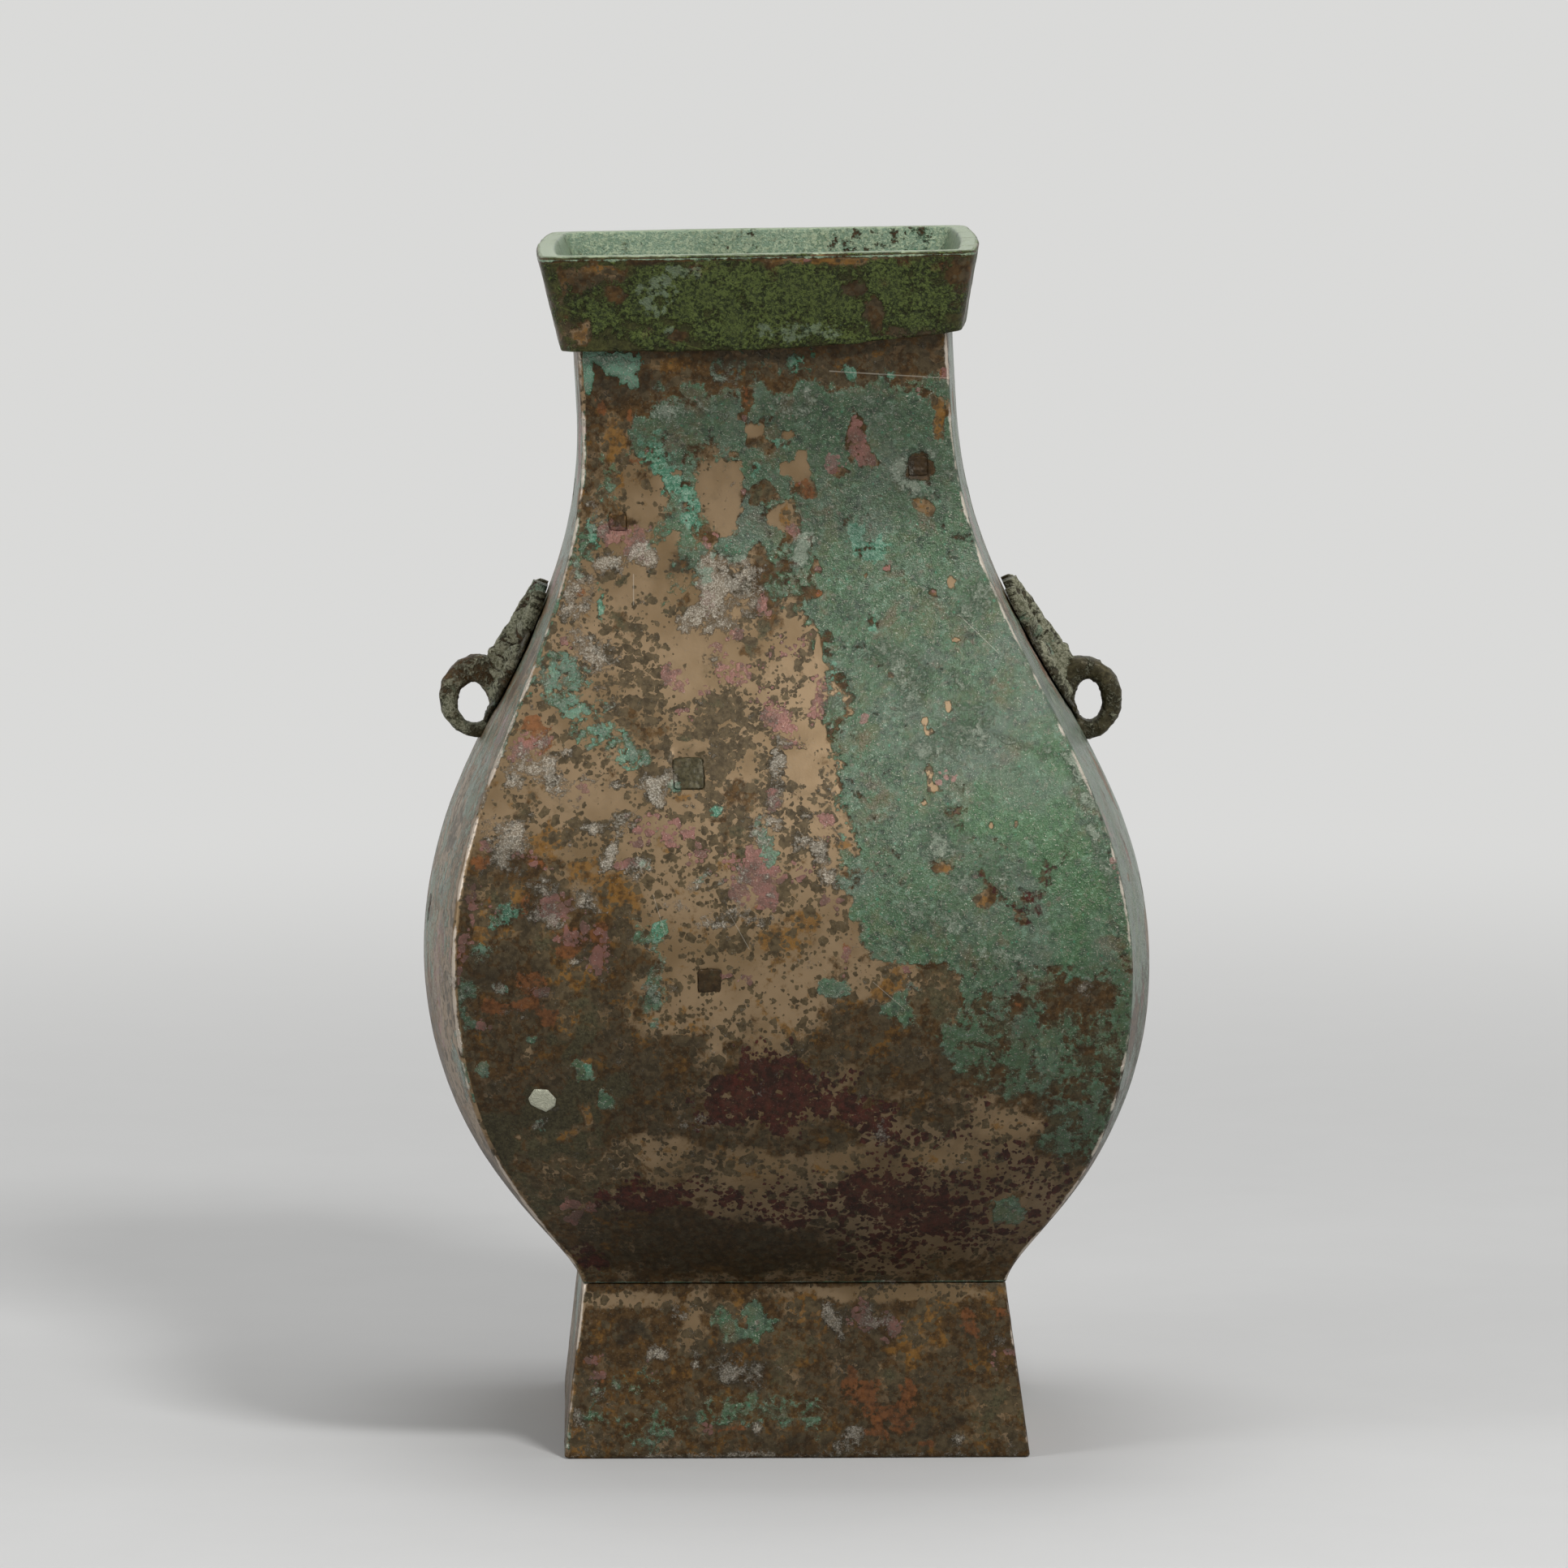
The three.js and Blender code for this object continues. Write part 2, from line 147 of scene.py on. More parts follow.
ridge_at = body_profile(BODY_BASE_HALF, WIDEST_HALF, NECK_HALF, WIDEST_LEVEL, RIDGE_PULL)
middle_at = body_profile(
    BODY_BASE_HALF + BASE_BULGE,
    WIDEST_HALF + WIDEST_BULGE,
    NECK_HALF + NECK_BULGE,
    WIDEST_LEVEL - BULGE_DROP,
    MIDDLE_PULL,
)


def settle(points):
    """The lean, twist and tilt of the old casting, as in the CAD model."""
    x, y, z = np.moveaxis(points, -1, 0)
    into_bend = z - WIDEST_LEVEL - NECK_BEND_START
    bent = np.where(
        into_bend < NECK_BEND_LENGTH,
        np.clip(into_bend, 0, None) ** 2 / (2 * NECK_BEND_LENGTH),
        into_bend - NECK_BEND_LENGTH / 2,
    )
    lean = -LEAN * (z - WIDEST_LEVEL) - NECK_LEAN * bent
    rise = smooth(z, WIDEST_LEVEL, RIM_LEVEL)
    return np.stack([x + lean + RIM_TWIST * y * rise, y - RIM_TWIST * x * rise, z + RIM_TILT * x * rise], -1)


class Columns:
    """Columns of a square ring: points across each wall, and a few round each ridge."""

    def __init__(self, counts, corner_count=5):
        share, turn, bend = [], [], []
        for wall, count in enumerate(counts):
            share += list(np.linspace(-1, 1, count)) + [1.0] * corner_count
            bend += [-1.0] * count + [(i + 1) / (corner_count + 1) for i in range(corner_count)]
            turn += [wall] * (count + corner_count)
        self.share, self.turn, self.bend = np.array(share), np.array(turn), np.array(bend)

    def across(self, ridge, edge):
        return self.share * (ridge - edge)

    def place(self, across, ridge, middle, z, edge):
        """Points of the ring's walls and rounded ridges, before the jar's lean."""
        out = middle + (ridge - middle) * (across / ridge) ** 2
        end = middle + (ridge - middle) * ((ridge - edge) / ridge) ** 2
        s = np.clip(self.bend, 0, 1)
        round_across = (1 - s) ** 2 * (ridge - edge) + 2 * s * (1 - s) * ridge + s**2 * end
        round_out = (1 - s) ** 2 * end + 2 * s * (1 - s) * ridge + s**2 * (ridge - edge)
        on_ridge = self.bend >= 0
        u = np.where(on_ridge, round_across, across)
        v = np.where(on_ridge, round_out, out)
        angle = self.turn * math.pi / 2
        z = np.broadcast_to(z, u.shape)
        return np.stack([u * np.cos(angle) + v * np.sin(angle), u * np.sin(angle) - v * np.cos(angle), z], -1)


def grid_normals(points):
    """Normals of a grid of points that closes on itself both ways."""
    along = np.roll(points, -1, 1) - np.roll(points, 1, 1)
    up = np.roll(points, -1, 0) - np.roll(points, 1, 0)
    normals = np.cross(along, up)
    return normals / np.maximum(np.linalg.norm(normals, axis=-1, keepdims=True), 1e-9)


def grid_faces(rows, columns):
    """Faces of a grid that closes on itself both ways."""
    index = np.arange(rows * columns).reshape(rows, columns)
    right, up = np.roll(index, -1, 1), np.roll(index, -1, 0)
    return np.stack([index, right, np.roll(right, -1, 0), up], -1).reshape(-1, 4)


# Patina as painted strokes

# What grows on the bronze, in three sets of four that the mesh carries as colour attributes; dark also
# carries painted shade, and the last channel pale worn edges with painted highlights
LAYERS = {
    "ground": ("tan", "spots", "ochre", "dark"),
    "growth": ("green", "jade", "crust", "olive"),
    "stain": ("ox", "pink", "orange", "wear_and_highlight"),
}
CHANNELS = [name for names in LAYERS.values() for name in names]
CLEAN = {name: 0.0 for name in ("green", "jade", "crust", "olive", "ox", "pink", "orange", "dark", "ochre")}
KINDS = {
    "bare": {**CLEAN, "tan": 1.0, "spots": 0.1},
    "speckled": {**CLEAN, "tan": 0.95, "spots": 0.44},
    "dense": {"spots": 0.53},
    "freckled": {**CLEAN, "tan": 0.8, "spots": 0.32, "ochre": 0.3},
    "brown": {**CLEAN, "tan": 0.35, "spots": 0.3, "ochre": 0.3, "dark": 0.15},
    "umber": {**CLEAN, "tan": 0.4, "spots": 0.45, "ochre": 0.35, "dark": 0.5},
    "ochre": {**CLEAN, "tan": 0.6, "ochre": 0.72},
    "black": {**CLEAN, "tan": 0.3, "spots": 0.4, "dark": 0.85},
    "slate": {"tan": 0.5, "spots": 0.52, "olive": 0.44, "dark": 0.04, "green": 0.1, "pink": 0.0},
    "green": {**CLEAN, "tan": 0.5, "green": 0.85},
    "thin_green": {"green": 0.55},
    "deep": {**CLEAN, "tan": 0.3, "dark": 0.4, "green": 0.5, "olive": 0.5},
    "olive": {**CLEAN, "tan": 0.2, "olive": 0.85, "dark": 0.45},
    "jade": {"green": 0.6, "jade": 0.62},
    "mint": {"green": 0.3, "jade": 0.6, "crust": 0.5, "spots": 0.2},
    "leafy": {"green": 1.0, "jade": 0.1, "olive": 0.9, "crust": 0.06, "dark": 0.1},
    "pink": {"pink": 0.66, "green": 0.1, "crust": 0.2},
    "rosy": {"pink": 0.48},
    "red": {"pink": 0.5, "orange": 0.52, "green": 0.0},
    "orange": {"orange": 0.62, "green": 0.1, "olive": 0.1},
    "ox": {"ox": 0.75, "green": 0.0},
    # Painted shade on the front, on the neck under the collar and low on the belly; dark patches at random on
    # the other walls
    "shadow": {"dark": 0.42},
    "ox_spots": {**CLEAN, "tan": 0.8, "spots": 0.42, "ox": 0.42, "dark": 0.3},
    "crust": {"crust": 0.74},
    "chalk": {"jade": 1.6, "crust": 0.5, "green": 0.9, "dark": 0.0, "spots": 0.0, "olive": 0.0},
    "frost": {"crust": 0.45},
    "stain": {"ox": 0.45, "dark": 0.25, "green": 0.5},
    "sage": {"green": 0.5, "olive": 0.3, "dark": 0.1},
    "film": {"green": 0.6, "jade": 0.56, "crust": 0.32, "spots": 0.4, "orange": 0.0, "pink": 0.0},
}


def read_strokes(text):
    """Strokes in painting order: kind, distance across, height, half width, half height and perhaps a turn.

    A kind stands until the next one is named, and a line that starts with # only says what follows.
    """
    found, kind = [], None
    lines = [line for line in text.splitlines() if not line.lstrip().startswith("#")]
    for item in " ".join(lines).split(","):
        words = item.split()
        if words and words[0] in KINDS:
            kind = words.pop(0)
        if words:
            found.append((kind, *map(float, words)))
    return found


# Strokes on the front wall, in millimetres and degrees
# Painted shade low on the belly: the second stroke of the next line
# Painted shade on the neck under the collar: the first two strokes of the next line
FRONT_STROKES = read_strokes("""
# Broad grounds
speckled -30 215 60 80, bare -27 250 26 12, -36 268 16 14, -60 206 16 6, freckled -30 174 44 14,
-14 149 50 20, umber -64 150 18 28, -28 122 46 13, freckled -62 262 7 30 12, frost -60 262 6 26 12,
dense -38 230 22 12, -18 233 13 10, -30 216 24 6, -14 205 12 12, -30 188 26 8, -10 168 16 8,
freckled -84 205 12 30 -12, green 65 218 49 66, 10 303 66 30, 26 266 26 24, umber -55 315 5 15,
shadow 6 316 56 14, 24 296 40 14, umber 0 335 60 5, deep 70 136 52 24, green 62 165 46 18,
ox_spots 26 88 62 30, shadow 40 84 44 22, olive -80 113 28 24, slate -66 88 20 14, umber -90 152 20 40,
ox 0 117 30 13, umber 18 128 20 9, -22 100 26 9, deep 88 112 16 20, black -24 66 36 8, umber -52 74 16 9,
# Edge between bare metal and green down the middle
mint 15.5 240 1.6 12, 15 217 2 14, 15 200 2.4 8, green 24 226 9 36, brown 1 268 9 10, thin_green 4 272 8 10,
speckled 4 236 8 16, dense 3 240 9 10, speckled 5 206 8 14, freckled 9 178 9 16, dense -26 204 20 4,
-2 186 12 10, -50 238 8 12, -2 252 9 7, rosy 2 247 7 6, dense -44 252 10 8, thin_green -28 266 9 5,
# Neck
brown -28 334 9 3, ochre -29 334 6 2, thin_green -10 334 12 4, frost -12 333 8 4, jade 12 334 3.5 4 -20,
black -47 330 4 7, -38 329 6 3, umber 38 334 19 3.4, chalk -53.5 332 1.8 5, -51 336 4 2, -42 335 5.4 3.4,
-40.5 331.4 2.2 3, orange -50 322 2 3, -42 319 2 3, -37 314 2 2.5, ochre -45 311 4 8, frost 8 323 9 5,
-17 322 6 4, 33 318 7 7, -30 322 6 5, orange -5.5 324 1.6 3, red -7 318 1.5 1, rosy 47 325 2 2,
red 55 330 1.6 1.6, jade -33 303 7 6, -27 298 7 5, -24 290 5 7, -36 311 4 4, 3 309 4 2, -3 302 2.6 3,
26 284 3 4, 30 278 6 3, 33 293 1.4 3, 37 330 2.5 2, 26 331 3 2, thin_green -19 303 6 10, slate -3.5 309 3 3,
-2 295 3 3, black -5 311 1.4 1.4, bare -14.5 296 5.6 9.5, -13 288 3 5, -4 313.5 2 2.6 35, -2 315 1.4 1,
6 312 1.6 1.2, 9.5 306 1.8 2, 8.5 301 4 3.4, 4 302 2 1.6, 2.4 288 2.6 3, ochre 5.5 289 2.4 5,
bare -34 298 1.6 1.2, -28 302 1.4 1, orange 11.5 296 3 2.6, red 9 297.5 1.5 1.5, orange -41 304 3.6 3,
red -35.5 306.5 1.6 1.6, ochre -42 292 5.5 8, bare -41 291 3 7, umber -43.5 286.5 3.4 1.8,
freckled -36 292 5 5, pink 28.5 308 3.6 4.6, 27 314 1.8 3.6, 31 304 2.4 2, red 21 301 2.6 1.8,
rosy 20 305 3 3, red -8 296 1.4 1.4, pink 5.5 283 2.2 3, -20 282 3.4 3, -44 281 6 6, frost -43 277 5 4,
crust -51 274 4 3, -39 277 3 4, -55 292 2.6 2, frost -52 287 3 4, crust 10.5 280.5 4.4 3.2, 6.5 275 3 2,
41 301 3.4 6, 43 296 2.6 2.4, 47.5 307 3 1.8, frost 53 300 3 2, black 46 302 2.8 3.2, 43 300 2 1.6,
ochre 46 291 4 2, 52 317 2 6,
# Shoulder, bare side
slate -48 269 3.4 3, -45 256 5 4, -47 259 3 2.4, -38 271 1.8 2, -39 264 1.8 1.6, -29 262 2.4 2.4,
-33 260 1.6 1.4, umber -28 272 4 4, jade -54 283 2.4 5, -53.5 262 1.2 6, orange -60 265 1.8 1.8,
thin_green -58 276 4 7, crust -60 254 3.6 2, frost -57 252 4 4, rosy -65 251 2 3, frost -58 246 5 4,
crust -16 275 7 3, -20 269 4.4 5, -11 266 8 5, -19 262 7 4 20, -27 258 4.4 2.4 25, -18 256 6 3, -6 269 3 4,
frost -10 259 6 4, slate -12 269 2.8 2, -17 271 2 1.4, -9 267 2 1.4, pink -3.5 261 1.6 5 10,
rosy -21 263 3 4, thin_green -26 276 5 7, rosy -12 253 4 2, pink -32 241 3.4 2.6, -26 238 4 2.6 -20,
-16.5 246 4 4, -13 241 5 3.4, rosy -20 249 3 2, -30 231 4 4, slate -47 231 5 4, -43 225 5 3, -21 234 6 3,
-8 249 3 3, -4 255 2.4 3, 5 243 4 3, -36 226 3 2, umber -38 220 4 2, slate -52 213 3 2, -30 223.5 4 1.6,
film -70 242 9 8, -63 233 8 8 -30, -54 223 10 4.6 -25, -45 218 7 2.6, frost -71 238 4 3,
orange -77 227.5 4 2.6, -74 221 3 5, pink -77 221 4 4, crust -80 213 5 3.6, frost -76 217 5 5,
crust -73 214 3 4, -66 219 2.2 1.6, frost -71 208 4 5, slate -80 203 4 3, crust -83 198 5 2.6,
-82 193 5.4 3.6, frost -90 196 3 6, -60 211 4 1.6, -52 210 3 1.4, rosy -62 208 3 2, frost -51 198 5 2.4,
crust -41 210 4 2.6, -39 205.5 2.4 2.4, jade -33.5 210 2.6 2, crust -35 211.5 2.4 3, bare -30 220.5 6 1.4,
-31 204.6 5 1.8, ochre -31 206 4 0.9, pink 0 229 6 6, 4 224 4 4, rosy -6 236 4 3, 10 234 3 7,
pink 12 238 1.6 4, frost 1 222 5 2.4, crust -3 216 3 3.4, frost -4 209 3.4 5, pink -5 206 3 2.4,
bare 8 237 2 2.6, 1.6 243 1.2 3, 8 224 3 3, 5 214 5 4, -12 212 2 5, rosy 9 200 4 5, frost 4 202 3 2,
slate -16 203 5 10, -17 193 5 7,
# Belly, bare side
pink -42 201 1.6 1.2, rosy -40 196 7 5, pink -30 197 2.6 2.6, rosy -27 190 3 2, pink -30 187.5 1.8 2.4,
-36 193 3 2, rosy -44 194 5 3, jade -21 203.5 1.8 2, mint -8 198 3.4 5, -6 190 3 4, crust -5 199 3 2,
frost -9 193 3 5, pink -12 184 8 5, -7 180 4 5, rosy -18 186 4 3, pink -14 178 4 3, red -9 176 3 2,
frost -16 174 5 3, -24 171 5 2.4, crust -12 170 5 0.9, -23 168.6 6 0.7, mint -27 182 3.4 1.6 25,
crust -29 180.6 2 1.4, 9 191 2.6 4.4 20, frost 9 186 4 3, 3 192 3 3, 14 183 4 3, thin_green 17 186 3 6,
ochre 15 193 4 1.6, rosy 4 184 4 3, 12 176 4 3, mint -3 170 3 2, ochre -3 166 7 4, 3 172 4 3,
pink -13 153 2 1.4 30, -16.5 151 1.2 1, rosy -20 154 2 1, red 16 160 2 5, ochre -71 193 6 4.6,
-66 196 4 2.6, -57 195 3 2.4, -62 186 6 4 -20, -54 181 7 4 -20, -50 176 6 4, bare -66 190 5 2,
slate -70 187 3 1.8, crust -54 191 2 3.4, -56 187 1.6 2, frost -48 184 3 3, rosy -50 187 4 2.4,
crust -60 197 2.4 1.6, frost -50 200 6 1.8, -47 188 3 1.4, jade -44 187 1.8 1.4, crust -85 187 5 2.6 -25,
frost -80 184 7 3.4 -25, pink -78 187 6 3 -20, orange -76 187 4 2.4, crust -73 177 6 4 -20,
frost -66 176 7 4, pink -70 174 7 3.4, crust -62 176 2 2, -71 170 2.4 1.6, frost -78 173 4 3, -58 173 3 1.4,
orange -93 187.6 2.4 3, rosy -92 192 3 2, red -95 177 3.6 3.6, -92 173 3 2, -96 167 2.4 4, -100 160 2.6 3.6,
-101 153 1.8 4, ochre -93 168 2.6 6, thin_green -88 174 5 6, jade -86 170 4 5, slate -90 178 3 3,
jade -93 161 4 2, frost -93 157 5 4, thin_green -93 156 6 6, frost -99 147 3 3, thin_green -98 148 4 6,
orange -82 176 3 4 -30, -81 172 1.8 2, ochre -84 178 3 3, -86 166 3 2, orange -76 153 10 4,
ochre -66 155 6 5, orange -88 144 6 2.4, -77 147 5 3, -73 142 4 4, ochre -68 139 3 3,
orange -68 162.4 3.4 2.4, pink -76 149 3 2, slate -73 164 5.4 4.6, -65 146 4.8 7, -62 139 4 4,
black -92 153.6 4 3, red -65 168 5 4, -58 163 3.4 5, -60 156 3 4, orange -57 167 2 2,
crust -66 157.6 1.6 1.4, frost -58 152 2 1, -83 142 4 2, pink -93 138 2.4 1.6, frost -80 150.5 3 1.4,
mint -88 150 3 1.6, thin_green -97 138 3 4, jade -40 167 4 3.4, thin_green -44 166 4 4, red -38.6 168 1.2 1,
thin_green -42 157 3 6, -42 146 3 4, -44 143 4 5, frost -43 148 2.6 3, -43 163 3 2, -36 174 4 3,
mint -44 186 3 1.4,
# Dark lower left
green -80 134 4 1.6, -93 124.6 2.4 2.8, -63 125 3 4, jade -62 125 1.4 1.6, green -57 115 2.6 3.6,
bare -80 131 0.6 2.4, ochre -62 128 1.4 1.4, red -58 127.4 1.4 0.8, ochre -63 110 1.6 5 20,
-69 104 4 1.4 25, bare -83 103 1.4 0.8, mint -76 107 2 3, red -66 80 7 2.4, -67 75 3 3.4, ox -45 82 12 5,
-62 62 6 4, freckled -40 98 10 8, frost -30 109 6 4, ox -10 126 7 8, 5 112 7 6, umber -35 116 9 6,
ox -18 116 9 8, 30 110 5 6, frost 26 104 3 4, black -30 74 12 4, -18 62 26 4, freckled -12 93 12 6,
ox 22 84 8 9, umber 10 105 9 6, freckled 12 96 9 5,
# Right and lower right
freckled 28 152 10 7, umber 22 140 16 8, 38 126 8 8, ochre 30 150 7 4, green 12 150 5.4 3.4, 33 143 7 4,
frost 13 149 3 2, red 34 156 1.6 2, slate 44 148 6 9, deep 86 152 12 8, umber 86 147 8 4, green 65 80 4 6,
67 76 3 3, freckled 63 106 7 6, 45 96 10 5, ox 38 78 10 8, orange 68 143.6 2 1.6, green 76 130 4 6,
frost 88 150 3 2.4, umber 42 112 10 6, leafy 70 206 17 14, 80 196 9 9, 84 172 10 14,
thin_green 64 192 4 2.6, stain 50 202 4 2, 53 195.6 4 1.8 -35, 58 187 1.8 5, 60 180 2 3, 65 174 5 2.4 -30,
71 172 4 2.6, 77 183 2 5, 82 191 2 6, 73 177 4 2, frost 46 199 6 4 20, crust 46 192 7 3, frost 68 184 8 4,
52 182 4 5, 66 156 9 6, 50 168 9 3, 38 172 8 6, ochre 46 186 3 2, 57 176 3 3, speckled 42.6 213 1.2 3,
44 209 2.2 1.2, rosy 48 211 4 2.4, speckled 41 205 1.2 1.2, 42.4 227 0.9 1.6, 43.6 224.2 1.2 0.8,
33.5 241 1 0.8, bare 4.4 253.6 1.6 2.6, 50 232 0.9 0.9, 53.5 268.4 1.3 1.6, 53 251.4 1.3 1.4, 12 246 1 5,
8 243.6 3 1, 68 197.6 0.9 0.9, 61 197.6 0.7 0.8, red 12.6 273 1.3 1.2, 12.8 264.4 1.5 1.2, 34 272.4 1.2 1,
47.4 264.6 1.1 0.9, 27.4 269.6 0.9 0.9, rosy 34 259.6 1.6 0.9, jade 28 255.4 2.2 2.2, rosy 24 228 3 1.4,
frost 22 258.6 3 2, 56 258 5 0.9 8, 62 254 5 0.8 30, 60 262 5 4, 40 243 7 7 -45, 52 240 8 2 -40, 40 234 4 5,
30 246 7 3, 55 226 8 5, 45 219 8 3, 70 221 8 1.4 -25, 78 218 4 2 -20, crust 87 213 4 2.6 -35, 91 206 2.4 4,
91.6 196 1.8 3.4, frost 93 190 3 6, 95 183 4 5, rosy 98 186 1.4 8 6, crust 85 216 5 1.6 -30
""")

FOOT_FRONT_STROKES = read_strokes("""
umber 0 25 75 30, brown 0 50.5 70 2.6, freckled 30 50.5 36 2, brown -50 38 16 12, freckled -30 43 5 7,
black -52 37 5 4, frost -36 44 6 4, freckled -50 48 16 2, rosy -38 24 8 7, brown -34 24 10 9,
red -63 30 4 2, -60 25 3 2, sage -50 20 12 6, thin_green -56 22 4 2, sage -44 9 12 5, thin_green -49 7 4 2,
sage -60 13 7 4, brown -53 16 6 3, sage -14 14 14 6, 2 16 8 6, thin_green 6 18 3 2, -14 19 1.4 3 35,
sage -26 14 4 3, slate 2 34 4 4, green -12 44 5 6, -20 40 5 5, ochre -18 47 3 5, slate -4 30 5 12,
ochre 2 46 7 3, frost -20 27 5 5, crust -20 25 2.4 2.4, -43 32 3 2, -31 29 1.6 2.6, frost -58 21 3 3,
-12 25 6 4, crust 10.5 43.6 2.2 4, 13.4 39 1.4 3, pink 20 43 3.4 5, 28 40 5 5, frost 24 41 6 4,
ochre 38 36 8 8, orange 51 43 5 3.6, 53 38 3.4 3, 64 43 3 2.4, ochre 44 45 5 3, orange 17 26 2 5, 21 19 5 6,
27 13 8 5, 36 20 4 4, 34 14 4 6, 40 5 3 1.4, 25 7 6 2, slate 30 26 6 3, 58 16 10 10, umber 48 24 8 6,
frost 60 34 4 3, rosy 63 30 3 4, black 49 10.6 4 1.6, 40 8 5 1, 1 5 5 2.4, crust -12 10 2.4 2.4, 17 7 3.6 2,
48 5.4 2.4 1.4, frost 15 4 5 2, orange -20 9 5 1.4, rosy -28 10 4 1.6, frost -67 12 2 6, ochre -66 6 3 5,
frost 0 1.2 72 1.2
""")

COLLAR_FRONT_STROKES = read_strokes("""
olive 0 352 72 18, crust 6 353 54 14, frost -56 350 10 8, umber -56 359 8 4, -50 362 9 2, crust 20 350 32 9,
-12 349 22 9, -24 358 16 5, brown -43 356 3.4 2.4, umber -61 344 3 6, slate -36 345 4 2, umber 60 354 3 13,
34 349 2.6 4, 44 343.4 8 1.6, 27 357 3 2.4, black 30 356 1.6 1.6, umber -26 343 3 1.4, jade -28 345 2 1.4,
crust 47 353 9 9, -46 349 5 4, orange -16 364 5 2, 4 363 2.4 3, ochre 20 366 20 1.4, orange 54 363 2 2,
38 358 1.4 1.6, 44 364 2 1.4, ochre -48 364 6 1.4, -54 344 3 3, rosy 14 366.4 4 1, thin_green -22 363 6 2,
14 344 18 3, -30 356 6 6, black -34 366 5 1, crust -49 357.4 1 1.4, -57 357.6 0.8 1.8, 61 346 1 1,
-61 340.6 1.4 1.2
""")

# Broad grounds of the walls that the photograph hides, which carry on from what it shows beside them
HIDDEN_STROKES = {
    1: read_strokes("""
    umber 0 190 120 160, green -50 200 66 120, deep -20 120 70 40, speckled 52 190 34 60,
    freckled 40 120 50 30, green 0 310 70 34, frost -30 230 40 26, sage 10 262 40 34, ox_spots 0 84 70 22,
    brown 30 150 36 20, frost -70 160 16 44
    """),
    2: read_strokes("""
    freckled 0 190 120 160, speckled 36 218 56 66, green -56 214 46 70, -10 304 70 30, umber 20 132 80 26,
    deep -60 130 46 30, ox_spots 0 88 70 28, bare 30 246 24 16, dense 34 214 26 20, sage -14 250 20 40,
    ochre 56 158 30 16, black 10 64 60 8
    """),
    3: read_strokes("""
    freckled 0 190 120 160, sage 40 220 60 80, frost 84 190 8 70, deep -40 140 60 50,
    speckled -50 220 30 50, green 0 306 70 34, crust 56 150 12 30, umber 0 84 80 24,
    thin_green 30 160 14 60, frost 10 240 16 24, brown 20 120 44 20, crust 36 200 6 50
    """),
}
MIXED_GROUNDS = ("green", "speckled", "freckled", "umber", "olive", "brown", "deep", "green", "ochre")
CRUSTY_GROUNDS = ("green", "olive", "crust", "frost")
RANDOM_GROWTHS = (
    "film", "sage", "crust", "frost", "rosy", "rosy", "orange", "ochre", "slate", "speckled", "thin_green",
    "frost", "crust", "shadow", "dense", "speckled", "frost", "thin_green", "brown", "sage", "pink",
)
MOUTH_GROWTHS = ("jade", "thin_green", "sage")
MASK_GROWTHS = ("frost", "crust", "slate", "thin_green", "olive", "brown")


def random_strokes(seed, half, low, high, broad, fine, grounds=MIXED_GROUNDS, growths=RANDOM_GROWTHS):
    """Strokes for a wall that the photograph doesn't show."""
    rng = random.Random(seed)
    strokes = []
    for index in range(broad + fine):
        kind = rng.choice(grounds if index < broad else growths)
        size = rng.uniform(16, 40) if index < broad else 1.2 + 9 * rng.random() ** 2
        place = (rng.uniform(-half, half), rng.uniform(low, high))
        strokes.append((kind, *place, size, size * rng.uniform(0.5, 1.5), rng.uniform(-50, 50)))
    return strokes


def start_fields(shape, **levels):
    fields = {name: np.zeros(shape) for name in CHANNELS}
    for name, level in levels.items():
        fields[name] += level
    return fields


def paint(fields, across, height, strokes, seed):
    """Lays each stroke over the last, with wandering edges that thin out."""
    flat = np.stack([across, height, np.full_like(across, 40.0 * seed)], -1)
    wide = [fractal(flat, 15, 4, 0.7, shift) for shift in (3.1, 47.7)]
    fine = [fractal(flat, 4.5, 3, 0.6, shift) for shift in (11.3, 71.9)]
    for kind, x, z, half_wide, half_high, *turn in strokes:
        size = min(half_wide, half_high)
        dx = across - x + 0.7 * min(size, 14) * wide[0] + 0.6 * min(size, 4) * fine[0]
        dz = height - z + 0.7 * min(size, 14) * wide[1] + 0.6 * min(size, 4) * fine[1]
        angle = math.radians(turn[0] if turn else 0)
        u = (dx * math.cos(angle) + dz * math.sin(angle)) / half_wide
        v = (dz * math.cos(angle) - dx * math.sin(angle)) / half_high
        near = (abs(u) ** 2.5 + abs(v) ** 2.5) ** 0.4
        soft = np.clip(4 / size, 0.3, 0.6)
        cover = smooth(-near, -1 - soft, -1 + soft)
        for name, level in KINDS[kind].items():
            fields[name] += (level - fields[name]) * cover


def paint_part(fields, here, across, height, strokes, seed, **levels):
    """Paints one part of a piece, over plain levels where they are given."""
    part = {name: values[here] for name, values in fields.items()}
    if levels:
        part = start_fields(int(here.sum()), **levels)
    paint(part, across[here], height[here], strokes, seed)
    for name in CHANNELS:
        fields[name][here] = part[name]


def mesh_object(name, points, faces, fields, node):
    """A piece from points in millimetres, which carries its patina as colour attributes."""
    mesh = bpy.data.meshes.new(name)
    mesh.from_pydata((points.reshape(-1, 3) * MM).tolist(), [], faces.tolist())
    for layer, names in LAYERS.items():
        values = np.stack([fields[channel].reshape(-1) for channel in names], -1)
        attribute = mesh.attributes.new(layer, "FLOAT_COLOR", "POINT")
        attribute.data.foreach_set("color", np.clip(values, 0, 1).astype(np.float32).reshape(-1))
    mesh.polygons.foreach_set("use_smooth", [True] * len(mesh.polygons))
    mesh.update()
    piece = bpy.data.objects.new(name, mesh)
    bpy.context.scene.collection.objects.link(piece)
    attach(piece, "root")
    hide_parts(node)
    return piece


DENT_SIZE, DENT_DEPTH = 38, 0.16
LUMP_SIZE, CRUST_HEIGHT, CRUST_RISE = 7.0, 0.3, 0.06
EATEN_DEPTH = 0.1
SKIN_INSET = 0.2


